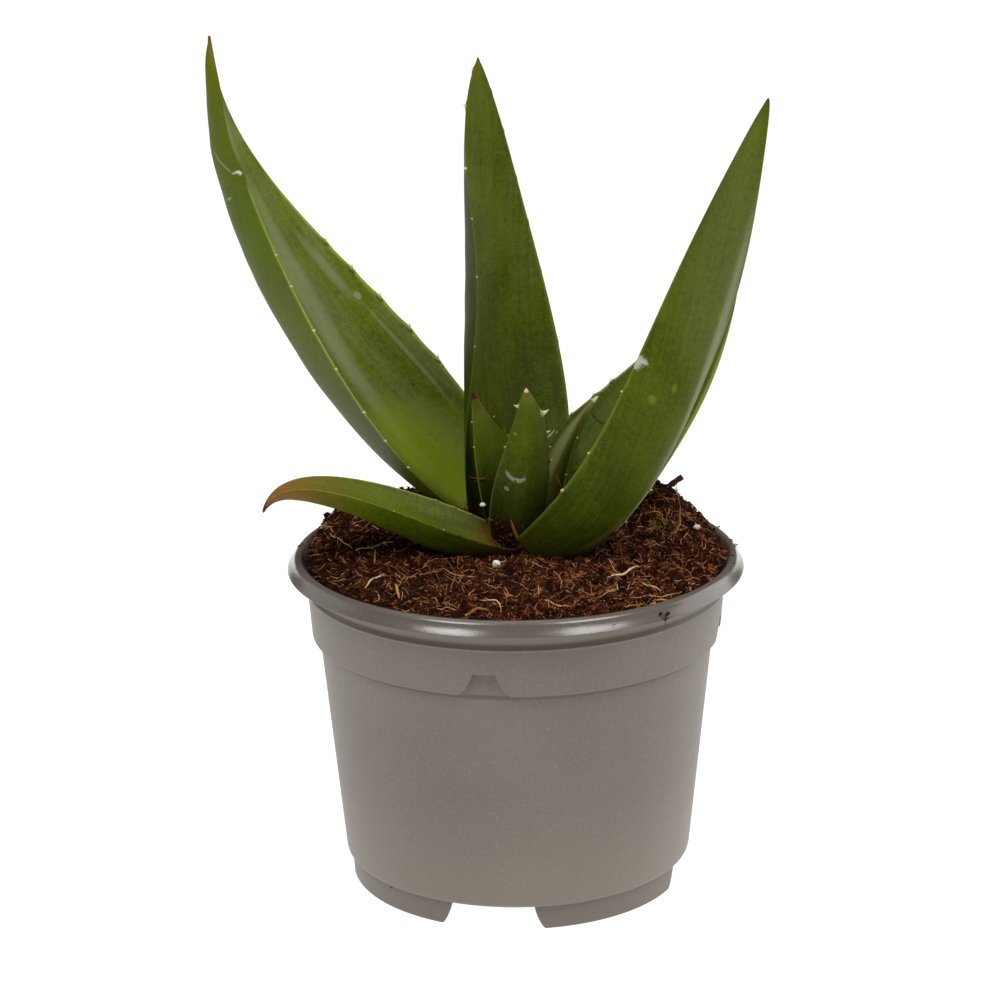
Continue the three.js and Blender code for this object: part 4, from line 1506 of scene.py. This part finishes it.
@dataclass
class SoilBed:
    """The root ball and its surface, and everything that lies loose on it.

    gaps holds where the soil has shrunk from the pot: an angle from +X, a spread and a depth.
    spills holds where crumbs lie on the rim: a place and how far they have spread.
    """

    edge: float = 87.8
    front: float = 90.8
    back: float = 95.3
    climb: Pair = (-16, 14)
    shoulder_power: Pair = (3, 9)
    shoulder_climb: Pair = (-30, 20)
    wall_radius: float = 54.9
    radius: float = 55.6
    heaps: tuple[Heap, ...] = (Heap((40, 28), 4, 13), Heap((-43, 20), 3.5, 12))
    gaps: tuple[tuple[float, float, float], ...] = ((188, 16, 2.0), (355, 10, 1.0), (90, 40, 1.2))
    spills: tuple[tuple[float, float, float, float], ...] = (
        (54.4, 20, 87.8, 0.8), (57.3, 7.1, 88.2, 0.9), (58, 4.4, 87.8, 0.7),
        (56.4, -6.6, 88.6, 0.4), (56.7, -12, 88.2, 0.4), (55, -17, 88.3, 0.4),
        (-56.9, 6.3, 88.4, 0.8), (36.6, -47.2, 86.6, 1.2), (36.9, -47.7, 85.5, 0.7),
        (24.1, -54.5, 86.6, 0.3), (-33.4, -31.5, 6.6, 0.3))
    fibres: tuple[Fibre, ...] = (
        Fibre((-29.5, -28), (-18.5, -25), 0.4, 1.5), Fibre((-18.5, -25), (-10.5, -28), 0.3, -1),
        Fibre((-21, -13.5), (-9, -12), 0.5, -2), Fibre((-14, -16.5), (-10.5, -11), 0.35, 0.5),
        Fibre((-30.5, -33), (-29.5, -40.5), 0.9), Fibre((-36, -33), (-35, -42), 0.35, 0.8),
        Fibre((-36.5, -16.5), (-36.5, -7.5), 0.5), Fibre((-49, 4), (-42.5, -7), 0.35),
        Fibre((-42.5, -8), (-32, -5.5), 0.4, 1), Fibre((-38.5, -31), (-33.5, -22), 0.6),
        Fibre((-13, -52), (-7, -49), 0.9, 0.6), Fibre((-9.5, -42.5), (-4, -48), 0.5, 1.5),
        Fibre((-4, -48), (-4, -52), 0.4), Fibre((-4, -40), (-1, -40.5), 0.7),
        Fibre((-4, -33), (-0.5, -43.5), 0.25), Fibre((23, -30), (31, -19.5), 0.7, -1),
        Fibre((31.5, -31.5), (36.5, -35.5), 0.5), Fibre((28.5, -40.5), (42, -33), 0.35, -2.5),
        Fibre((35, -42.5), (38, -41), 0.6), Fibre((27, -47.5), (32, -43), 0.55),
        Fibre((5.5, -46), (13, -46), 0.6), Fibre((9.5, -24.5), (11, -38.5), 0.45, 1),
        Fibre((5.5, -33.5), (5.5, -43), 0.3), Fibre((21, -31.5), (22.5, -36), 0.6),
        Fibre((22.5, -39), (25, -36), 0.5, 0.5), Fibre((17.5, -40), (20, -39), 0.6),
        Fibre((27, -8), (28, -19), 0.3), Fibre((41, -5), (43, 3), 0.4),
        Fibre((43, 3), (43.5, 4), 0.55, rise=5.5), Fibre((43.5, 4.5), (42.5, 5), 0.25, 0.3, 5.5, 5.5),
        Fibre((45.5, -4), (47, -7.5), 0.35))
    strewings: tuple[Strewing, ...] = (
        Strewing("soil_fibres_1", 5200, (0.8, 2.8), (0.12, 0.34), 0.6, 2, BROWN_FIBRE, 23),
        Strewing("soil_fibres_2", 5200, (0.8, 2.8), (0.12, 0.34), 0.6, 2, BROWN_FIBRE, 24),
        Strewing("soil_dry_fibres", 700, (2.0, 6.0), (0.1, 0.24), 0.3, 5, DRY_FIBRE, 25),
        Strewing("soil_flecks", 1600, (0.8, 2.6), (0.12, 0.3), 0.4, 3, PALE_FLECK, 28))
    crumb_count: int = 4600
    crumb_sizes: Pair = (0.22, 0.95)
    clod_count: int = 110
    clod_sizes: Pair = (0.6, 1.7)
    moss_at: Pair = (37.5, 2.5)
    moss_spread: Pair = (1.6, 2.0)
    moss_threads: int = 110
    seed: int = 21

    RINGS = 100
    SIDES = 440
    MERGE = 1e-3
    BALL_SIDE = ((0, 8), (44.4, 8), (44.6, 9.2), (50.2, 66), (50.4, 74.5), (52.4, 77), (52.6, 82),
                 (53.4, 84.6), (54.8, 86.4))
    SHRINKS_FROM = 83
    LUMPS = ((3.2, 1.0, 3.0), (1.4, 0.7, 9.0), (0.7, 0.4, 17.0))
    HANDFUL = 40
    FIBRE_STEPS = 8
    CRUMBS_PER_SPILL = 6

    def height(self, x: float, y: float) -> float:
        """Work out the soil's level without its lumps.

        Args:
            x: The distance to the right of the pot's axis.
            y: The distance behind it.

        Returns:
            The level, in millimetres above the ground.
        """
        level = lerp(self.front, self.back, smoothstep(y, *self.climb))
        power = lerp(*self.shoulder_power, smoothstep(y, *self.shoulder_climb))
        height = lerp(level, self.edge, (math.hypot(x, y) / self.wall_radius) ** power)
        for heap in self.heaps:
            height += heap.height * bell(math.hypot(x - heap.at[0], y - heap.at[1]), heap.spread)
        # These are the slow waves of the CAD model's soil.
        return (height + 0.5 * math.sin(0.31 * x + 1.3) * math.cos(0.27 * y)
                + 0.35 * math.sin(0.63 * x + 0.48 * y) + 0.25 * math.cos(0.9 * y - 0.55 * x))

    def lumps(self, x: float, y: float) -> float:
        """Work out the crumbly unevenness of the surface, which LUMPS gives by size, height and layer.

        Args:
            x: The distance to the right of the pot's axis.
            y: The distance behind it.

        Returns:
            How far the surface stands above the plain level.
        """
        lumps = sum(height * noise.noise(Vector((x, y, layer)) / size)
                    for size, height, layer in self.LUMPS)
        return lumps * (1 - 0.5 * smoothstep(math.hypot(x, y), self.radius - 3, self.radius))

    def surface(self, x: float, y: float) -> float:
        """Return the level of the crumbly surface at a place."""
        return self.height(x, y) + self.lumps(x, y)

    def openness(self, x: float, y: float) -> float:
        """Return how open to the light a place is, from 0 in a pit to 1 on a lump."""
        return smoothstep(self.lumps(x, y), -0.7, 0.5)

    def painted_light(self, x: float, y: float) -> float:
        """Return how light the litter at a place is painted: darker in the pits, lighter on the right."""
        return lerp(0.12, 1.15, self.openness(x, y)) * lerp(0.9, 1.4, smoothstep(x, -25, 25))

    def build_ball(self) -> bpy.types.Object:
        """Build the root ball in place of its CAD node."""
        profile = [Vector((radius, 0, height)) for radius, height in self.BALL_SIDE]
        profile += [Vector((self.radius * ring / self.RINGS, 0, self.edge))
                    for ring in range(self.RINGS, -1, -1)]
        shape = spun(profile, self.SIDES, merge=self.MERGE)
        litter = shape.verts.layers.float_vector.new("litter")
        for vertex in shape.verts:
            x, y, z = vertex.co
            # How open each place is to the light, for the painted shade in the pits.
            vertex[litter] = (self.openness(x, y), 0, 0)
            if z > self.SHRINKS_FROM:
                reach = math.hypot(x, y) / self.radius
                shrink = 1 - self.gap(x, y) / self.radius * reach ** 6
                x, y = x * shrink, y * shrink
            if z > self.edge - 0.01:
                z = self.surface(x, y)
            vertex.co = placed(Vector((x, y, z)))
        return mesh_object("root_ball", mesh_from(shape), SoilFinish().material(), Slot.SOIL,
                           ["soil"])

    def gap(self, x: float, y: float) -> float:
        """Work out how far the soil has shrunk from the pot's mouth.

        Args:
            x: The distance to the right of the pot's axis.
            y: The distance behind it.

        Returns:
            The shrinkage in that place's direction.
        """
        degrees = math.degrees(math.atan2(y, x)) % 360
        gap = 0.4 + 0.5 * noise.noise(Vector((x, y, 40)) / 5.0)
        for middle, spread, depth in self.gaps:
            away = (degrees - middle + 180) % 360 - 180
            gap += depth * bell(away, spread)
        return gap

    def spot(self, chance: random.Random, inner: float, outer: float) -> Pair:
        """Draw a random place on the soil.

        Args:
            chance: The random draw.
            inner: The least distance from the pot's axis.
            outer: The greatest.

        Returns:
            The place's X and Y.
        """
        angle = chance.uniform(0, math.tau)
        radius = math.sqrt(chance.uniform(inner * inner, outer * outer))
        return radius * math.cos(angle), radius * math.sin(angle)

    def loose_crumbs(self, seed: int) -> list[Crumb]:
        """Scatter one batch of crumbs over the whole surface.

        Args:
            seed: The seed of the draw.

        Returns:
            The crumbs.
        """
        chance = random.Random(seed)
        crumbs = []
        for _ in range(self.crumb_count):
            x, y = self.spot(chance, 4.0, self.radius - 1.2)
            size = lerp(*self.crumb_sizes, chance.random() ** 2)
            lift = self.surface(x, y) + size * chance.uniform(-0.1, 0.5)
            # A crumb's tone carries painted shade in the pits and painted light on the right.
            shade = chance.random() * self.painted_light(x, y)
            crumbs.append(Crumb(Vector((x, y, lift)), size, shade))
        return crumbs

    def clods(self, seed: int) -> list[Crumb]:
        """Pile up the coarse dark crumbs that the heaps are made of.

        Args:
            seed: The seed of the draw.

        Returns:
            The crumbs.
        """
        chance = random.Random(seed)
        crumbs = []
        for heap in self.heaps:
            for _ in range(self.clod_count):
                angle = chance.uniform(0, math.tau)
                reach = heap.spread * chance.uniform(0.0, 1.2)
                x = heap.at[0] + reach * math.cos(angle)
                y = heap.at[1] + reach * math.sin(angle)
                if math.hypot(x, y) < self.radius - 2:
                    size = lerp(*self.clod_sizes, chance.random() ** 2)
                    middle = Vector((x, y, self.surface(x, y) + size * chance.uniform(0.0, 0.6)))
                    crumbs.append(Crumb(middle, size, chance.uniform(0.0, 0.5)))
        return crumbs

    def spilt(self, seed: int) -> list[Crumb]:
        """Spill crumbs on the pot's rim and its lip.

        Args:
            seed: The seed of the draw.

        Returns:
            The crumbs.
        """
        chance = random.Random(seed)
        crumbs = []
        for x, y, z, spread in self.spills:
            for _ in range(self.CRUMBS_PER_SPILL):
                shift = Vector([chance.uniform(-spread, spread) for _ in range(3)])
                shift.z *= 0.35
                size = spread * chance.uniform(0.3, 0.6)
                crumbs.append(Crumb(Vector((x, y, z)) + shift, size, chance.uniform(0.2, 0.9)))
        return crumbs

    def build_crumbs(self, name: str, crumbs: Sequence[Crumb], finish: LitterFinish,
                     seed: int) -> bpy.types.Object:
        """Build crumbs, a handful at a time.

        Args:
            name: The piece's name.
            crumbs: Where they lie and how big they are.
            finish: Their material.
            seed: The seed of their shapes.

        Returns:
            One piece that holds them all.
        """
        chance = random.Random(seed)
        heap = bmesh.new()
        for first in range(0, len(crumbs), self.HANDFUL):
            handful = bmesh.new()
            litter = handful.verts.layers.float_vector.new("litter")
            for crumb in crumbs[first:first + self.HANDFUL]:
                shape = Matrix.Diagonal((1, chance.uniform(0.5, 0.95), chance.uniform(0.4, 0.8), 1))
                turn = Matrix.Rotation(chance.uniform(0, math.tau), 4, "Z")
                tilt = Matrix.Rotation(chance.uniform(-0.6, 0.6), 4, "X")
                made = bmesh.ops.create_icosphere(handful, subdivisions=1, radius=crumb.size,
                                                  matrix=turn @ tilt @ shape)
                for vertex in made["verts"]:
                    vertex.co *= chance.uniform(0.72, 1.25)
                    vertex.co = placed(vertex.co + crumb.middle)
                    vertex[litter] = (crumb.shade, 0, 0)
            pour(handful, heap)
        return mesh_object(name, mesh_from(heap), finish.material(), Slot.SOIL, sharp=25)

    def fibre_points(self, fibre: Fibre) -> list[Vector]:
        """Lay a fibre where it says, over the lumps of the soil.

        Args:
            fibre: The fibre.

        Returns:
            Points in millimetres from the pot's axis.
        """
        start, end = Vector(fibre.start), Vector(fibre.end)
        sideways = (end - start).orthogonal().normalized() * fibre.bow
        points = []
        for step in range(self.FIBRE_STEPS + 1):
            share = step / self.FIBRE_STEPS
            x, y = start.lerp(end, share) + sideways * (4 * share * (1 - share))
            level = self.height(x, y) + max(self.lumps(x, y), 0.0) * 0.7
            points.append(Vector((x, y, level + fibre.lift + fibre.rise * share)))
        return points

    def strand_points(self, chance: random.Random, length: float, curl: float,
                      steps: int) -> list[Vector]:
        """Return a wandering line that lies on the soil.

        Args:
            chance: The random draw.
            length: Its length.
            curl: How far it may turn at each step, in radians.
            steps: How many stretches it has.

        Returns:
            Points in millimetres from the pot's axis.
        """
        x, y = self.spot(chance, 3.0, self.radius - 1.0)
        heading = chance.uniform(0, math.tau)
        lift = chance.uniform(-0.1, 0.5)
        tilt = chance.uniform(-0.2, 0.45) * length
        points = []
        for step in range(steps + 1):
            share = step / steps
            arch = 0.25 * length * chance.uniform(0.0, 0.5) * share * (1 - share)
            points.append(Vector((x, y, self.surface(x, y) + lift + arch + tilt * share * share)))
            heading += chance.uniform(-curl, curl)
            x += length / steps * math.cos(heading)
            y += length / steps * math.sin(heading)
            if math.hypot(x, y) > self.radius + 0.2:
                x *= 0.96
                y *= 0.96
        return points

    def build_strands(self, name: str, lines: Sequence[tuple[list[Vector], float]],
                      finish: LitterFinish, seed: int) -> bpy.types.Object:
        """Build fibres as thin tapered tubes.

        Args:
            name: The piece's name.
            lines: Each fibre's points and its thickness.
            finish: Their material.
            seed: The seed of their shades.

        Returns:
            One piece that holds them all.
        """
        chance = random.Random(seed)
        curve = bpy.data.curves.new(name, "CURVE")
        curve.dimensions = "3D"
        curve.bevel_depth = MM
        curve.bevel_resolution = 0
        curve.use_fill_caps = True
        shades: list[float] = []
        for points, thickness in lines:
            spline = curve.splines.new("POLY")
            spline.points.add(len(points) - 1)
            last = len(points) - 1
            for index, (target, point) in enumerate(zip(spline.points, points)):
                target.co = (*placed(point), 1)
                target.radius = thickness / 2 * (1 - 0.6 * abs(2 * index / last - 1) ** 3)
            # A fibre's tone carries painted shade in the pits and painted light on the right.
            shade = chance.random() * self.painted_light(points[0].x, points[0].y)
            shades.extend([shade] * (4 * len(points)))
        drawn = linked(name, curve)
        mesh = evaluated_mesh(drawn)
        bpy.data.objects.remove(drawn)
        bpy.data.curves.remove(curve)
        litter = mesh.attributes.new("litter", "FLOAT_VECTOR", "POINT")
        for index, item in enumerate(litter.data):
            item.vector = (shades[min(index, len(shades) - 1)], 0, 0)
        return mesh_object(name, mesh, finish.material(), Slot.SOIL)

    def build(self) -> None:
        """Build the root ball and its litter."""
        self.build_ball()
        for batch in range(2):
            crumbs = self.loose_crumbs(self.seed + 10 + batch)
            self.build_crumbs(f"soil_crumbs_{batch + 1}", crumbs, DARK_CRUMB, self.seed + 20 + batch)
        self.build_crumbs("soil_clods", self.clods(self.seed + 12), DARK_CRUMB, self.seed + 22)
        self.build_crumbs("spilt_crumbs", self.spilt(self.seed + 13), DARK_CRUMB, self.seed + 23)
        chance = random.Random(self.seed + 1)
        for kind in self.strewings:
            lines = [(self.strand_points(chance, chance.uniform(*kind.lengths), kind.curl, kind.steps),
                      chance.uniform(*kind.thicknesses)) for _ in range(kind.count)]
            self.build_strands(kind.name, lines, kind.finish, kind.seed)
        chosen = [(self.fibre_points(fibre), fibre.thickness) for fibre in self.fibres]
        self.build_strands("soil_long_fibres", chosen, DRY_FIBRE, self.seed + 5)
        self.build_strands("moss_tuft", self.moss_lines(chance), MOSS, self.seed + 6)

    def moss_lines(self, chance: random.Random) -> list[tuple[list[Vector], float]]:
        """Grow the short leaning threads of the tuft of moss.

        Args:
            chance: The random draw.

        Returns:
            Each thread's points and its thickness.
        """
        lines = []
        for _ in range(self.moss_threads):
            x, y = [chance.gauss(middle, spread)
                    for middle, spread in zip(self.moss_at, self.moss_spread)]
            root = Vector((x, y, self.surface(x, y)))
            lean = Vector([chance.uniform(*reach) for reach in ((-0.7, 0.7), (-0.7, 0.7), (0.3, 1.2))])
            lines.append(([root, root + lean * 0.5, root + lean], chance.uniform(0.15, 0.3)))
        return lines


# ---------------------------------------------------------------- grains and twig


@dataclass(frozen=True)
class PerliteFinish:
    """White expanded grains with a porous surface."""

    white: Colour = "#efece4"
    dirty: Colour = "#b9a58a"

    def material(self) -> bpy.types.Material:
        """Return the grains' material."""
        palette = Palette("perlite")
        at = palette.place()
        pores = palette.cells(at, 2600.0)
        stain = palette.noise(at, 900.0, 3.0)
        colour = palette.mix(stain.rise(0.56, 0.75), self.white, self.dirty)
        return palette.finish(Base_Color=colour, Roughness=0.85 + pores * 0.1,
                              Normal=palette.bump(pores, 0.0001))


@dataclass(frozen=True)
class BarkFinish:
    """Dark reddish bark."""

    dark: Colour = "#2a110a"
    light: Colour = "#5b2d1b"

    def material(self) -> bpy.types.Material:
        """Return the twig's material."""
        palette = Palette("bark")
        grain = palette.noise(palette.stretched(palette.place(), (900.0, 2500.0, 900.0)), 1.0, 4.0)
        colour = palette.mix(grain.rise(0.4, 0.65), self.dark, self.light)
        return palette.finish(Base_Color=colour, Roughness=0.7 + grain * 0.2,
                              Normal=palette.bump(grain, 0.0006))


@dataclass(frozen=True)
class Lodging:
    """A stretch of a leaf's back where crumbs have caught, as shares of its length and width."""

    leaf: str
    shares: Pair
    sides: Pair
    crumbs: int


@dataclass(frozen=True)
class Scrap:
    """A dry scrap or thread, drawn along a line."""

    line: tuple[Spot, ...]
    thickness: float


@dataclass
class Oddments:
    """The grains of perlite, the scrap of bark, and what has caught among the leaves and on the lip."""

    soil: SoilBed
    rosette: Rosette
    lodgings: tuple[Lodging, ...] = (
        Lodging("front_small", (0.0, 0.13), (-1.0, 0.0), 90),
        Lodging("front_small", (0.0, 0.08), (0.0, 1.0), 30),
        Lodging("inner_left", (0.0, 0.14), (-1.0, 1.0), 45),
        Lodging("right_tall", (0.0, 0.05), (-1.0, 1.0), 40))
    grains: tuple[tuple[str, Pair, float], ...] = (
        ("perlite_front", (-5, -19), 1.1), ("perlite_right", (48, 5.5), 1.0))
    grain_lift: float = 0.3
    crown_grain: Spot = (-8.5, -2.7, 102)
    crown_grain_size: float = 0.75
    scraps: tuple[Scrap, ...] = (
        Scrap(((-1.2, -10.9, 100.3), (-0.7, -11, 98.5), (0.2, -10.9, 96.1), (1.2, -12, 94)), 0.9),
        Scrap(((-11.7, -0.5, 108.9), (-9.4, -1.9, 108.8), (-6.8, 2.3, 107.7)), 0.35),
        Scrap(((-10.8, 0.5, 107.2), (-8.8, -0.8, 108.4), (-7, 2.1, 108.6)), 0.3),
        Scrap(((10.8, 4.5, 107.9), (11.5, 2.7, 106.6), (12.3, -0.6, 105.6)), 0.7),
        Scrap(((36.8, -47.8, 86), (37, -48.1, 84.6), (37.2, -47.9, 83.2)), 0.3))
    twig_from: Spot = (36.5, 31.5, 92.5)
    twig_to: Spot = (45.5, 31, 99)
    twig_radius: float = 1.0
    seed: int = 31

    TWIG_SIDES = 24
    TWIG_RINGS = 30

    def build_grain(self, name: str, middle: Vector, size: float,
                    material: bpy.types.Material, stands_for: Sequence[str]) -> bpy.types.Object:
        """Build one knobbly grain.

        Args:
            name: The piece's name.
            middle: Its middle.
            size: Its radius.
            material: Its finish.
            stands_for: The CAD node that it replaces.

        Returns:
            The grain.
        """
        shape = bmesh.new()
        bmesh.ops.create_icosphere(shape, subdivisions=4, radius=size)
        for vertex in shape.verts:
            knobs = 1 + 0.22 * noise.noise(vertex.co * 1.6 + middle)
            knobs += 0.08 * noise.noise(vertex.co * 5 + middle)
            vertex.co = placed(middle + Vector((vertex.co.x, vertex.co.y * 0.85,
                                                vertex.co.z * 0.8)) * knobs)
        return mesh_object(name, mesh_from(shape), material, Slot.PERLITE, stands_for)

    def lodged(self, seed: int) -> list[Crumb]:
        """Lodge crumbs among the bases of the leaves.

        Args:
            seed: The seed of the draw.

        Returns:
            The crumbs.
        """
        chance = random.Random(seed)
        leaves = {leaf.name: leaf for leaf in self.rosette.leaves}
        crumbs = []
        for lodging in self.lodgings:
            for _ in range(lodging.crumbs):
                station = leaves[lodging.leaf].station(chance.uniform(*lodging.shares))
                size = lerp(0.2, 0.8, chance.random() ** 2)
                middle = station.point(chance.uniform(*lodging.sides), True)
                crumbs.append(Crumb(middle, size, chance.uniform(0.0, 0.7)))
        return crumbs

    def build_twig(self) -> bpy.types.Object:
        """Build the scrap of bark in place of its CAD node."""
        start, end = Vector(self.twig_from), Vector(self.twig_to)
        along = (end - start).normalized()
        turn = UP.rotation_difference(along)
        shape = closed_tube(self.TWIG_SIDES, self.TWIG_RINGS)
        for vertex in shape.verts:
            share = vertex.co.z
            radius = self.twig_radius * (0.85 + 0.25 * noise.noise(Vector((share * 9, 0, 4))))
            flat = Vector((vertex.co.x, vertex.co.y * 0.7, 0)) * radius
            flat *= 1 + 0.2 * noise.noise(Vector((vertex.co.x * 2, vertex.co.y * 2, share * 5)))
            vertex.co = placed(start + (end - start) * share + turn @ flat)
        return mesh_object("bark_scrap", mesh_from(facing_out(shape)), BarkFinish().material(),
                           Slot.BARK, ["bark_twig"])

    def build(self) -> None:
        """Build every loose piece."""
        material = PerliteFinish().material()
        for name, (x, y), size in self.grains:
            middle = Vector((x, y, self.soil.height(x, y) + self.grain_lift * size))
            self.build_grain(f"{name}_grain", middle, size, material, [name])
        self.build_grain("perlite_crown_grain", Vector(self.crown_grain), self.crown_grain_size,
                         material, [])
        self.build_twig()
        scraps = [([Vector(spot) for spot in scrap.line], scrap.thickness) for scrap in self.scraps]
        self.soil.build_strands("crown_scraps", scraps, CROWN_SCRAP, self.seed + 2)
        self.soil.build_crumbs("lodged_crumbs", self.lodged(self.seed), CAUGHT_CRUMB, self.seed + 1)


# ---------------------------------------------------------------- studio


@dataclass(frozen=True)
class Light:
    """A soft square light: where it hangs and its side, in metres, and its power in watts."""

    name: str
    place: Spot
    side: float
    watts: float


@dataclass
class Studio:
    """The pale floor, the soft lights and the camera."""

    elevation: float = 16.95
    distance: float = 856.6
    aim_height: float = 102.4
    aim_side: float = -3.95
    roll: float = -0.59
    focal_pixels: float = 3274.0
    frame_pixels: float = 1000.0
    sensor: float = 36.0
    floor_size: float = 12.0
    floor_colour: Spot = (0.2, 0.2, 0.2)
    floor_glow: float = 1.0
    white: Spot = (1.0, 1.0, 1.0)
    sky_strength: float = 0.08
    light_aim: float = 0.12
    lights: tuple[Light, ...] = (
        Light("right_box", (0.5, -0.45, 1.0), 0.5, 6), Light("left_box", (-0.44, -0.5, 1.0), 0.4, 5),
        Light("top_light", (-0.1, 0.15, 1.2), 1.0, 2.5),
        Light("right_light", (1.0, 0.4, 0.4), 0.8, 3.5),
        Light("left_light", (-1.0, 0.4, 0.25), 0.8, 1.2))

    def build_camera(self) -> None:
        """Stand the camera where the photograph was taken from."""
        angle = math.radians(self.elevation)
        back = Vector((0, -math.cos(angle), math.sin(angle)))
        across = Vector((1, 0, 0))
        upwards = back.cross(across)
        lean = math.radians(self.roll)
        right = across * math.cos(lean) + upwards * math.sin(lean)
        top = upwards * math.cos(lean) - across * math.sin(lean)
        data = bpy.data.cameras.new("camera")
        data.sensor_width = self.sensor
        data.lens = self.focal_pixels / self.frame_pixels * self.sensor
        data.clip_start = 0.01
        camera = linked("camera", data)
        place = placed(Vector((self.aim_side, 0, self.aim_height)) + back * self.distance)
        axes = Matrix((right, top, back)).transposed().to_4x4()
        camera.matrix_world = Matrix.Translation(place) @ axes
        bpy.context.scene.camera = camera

    def build_floor(self) -> None:
        """Lay the floor."""
        shape = bmesh.new()
        bmesh.ops.create_grid(shape, x_segments=1, y_segments=1, size=self.floor_size / 2)
        floor = linked("floor", mesh_from(shape))
        floor.data.materials.append(Palette("floor").finish(
            Base_Color=self.floor_colour, Roughness=0.9, Emission_Color=self.white,
            Emission_Strength=self.floor_glow, Specular_IOR_Level=0.0))
        floor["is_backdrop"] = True

    def build_light(self, light: Light) -> None:
        """Hang one light, turned towards the plant.

        Args:
            light: The light.
        """
        data = bpy.data.lights.new(light.name, "AREA")
        data.size = light.side
        data.energy = light.watts
        lamp = linked(light.name, data)
        lamp.location = light.place
        direction = Vector((AXIS.x, AXIS.y, self.light_aim)) - Vector(light.place)
        lamp.rotation_euler = direction.to_track_quat("-Z", "Y").to_euler()

    def build(self) -> None:
        """Build the camera, the floor, the lights and the sky."""
        self.build_camera()
        self.build_floor()
        for light in self.lights:
            self.build_light(light)
        world = bpy.data.worlds.new("studio")
        world.use_nodes = True
        background = world.node_tree.nodes["Background"]
        background.inputs["Color"].default_value = (*self.white, 1.0)
        background.inputs["Strength"].default_value = self.sky_strength
        bpy.context.scene.world = world
        bpy.context.scene.view_settings.view_transform = "Standard"


def write_sizes() -> None:
    """Work out the CAD model's box and the visual model's box, in metres, as plain lists."""
    boxes = {"cad": CAD_BOX, "visual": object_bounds()}
    plain = {name: [[float(value) for value in corner] for corner in box]
             for name, box in boxes.items()}


def main() -> None:
    """Build the studio, then the plant from the pot upwards."""
    logging.basicConfig(level=logging.INFO, format="%(name)s: %(message)s")
    Studio().build()
    Pot().build()
    soil = SoilBed()
    soil.build()
    Stem().build()
    rosette = Rosette()
    rosette.build()
    Oddments(soil, rosette).build()
    write_sizes()


if __name__ == "__main__":
    main()
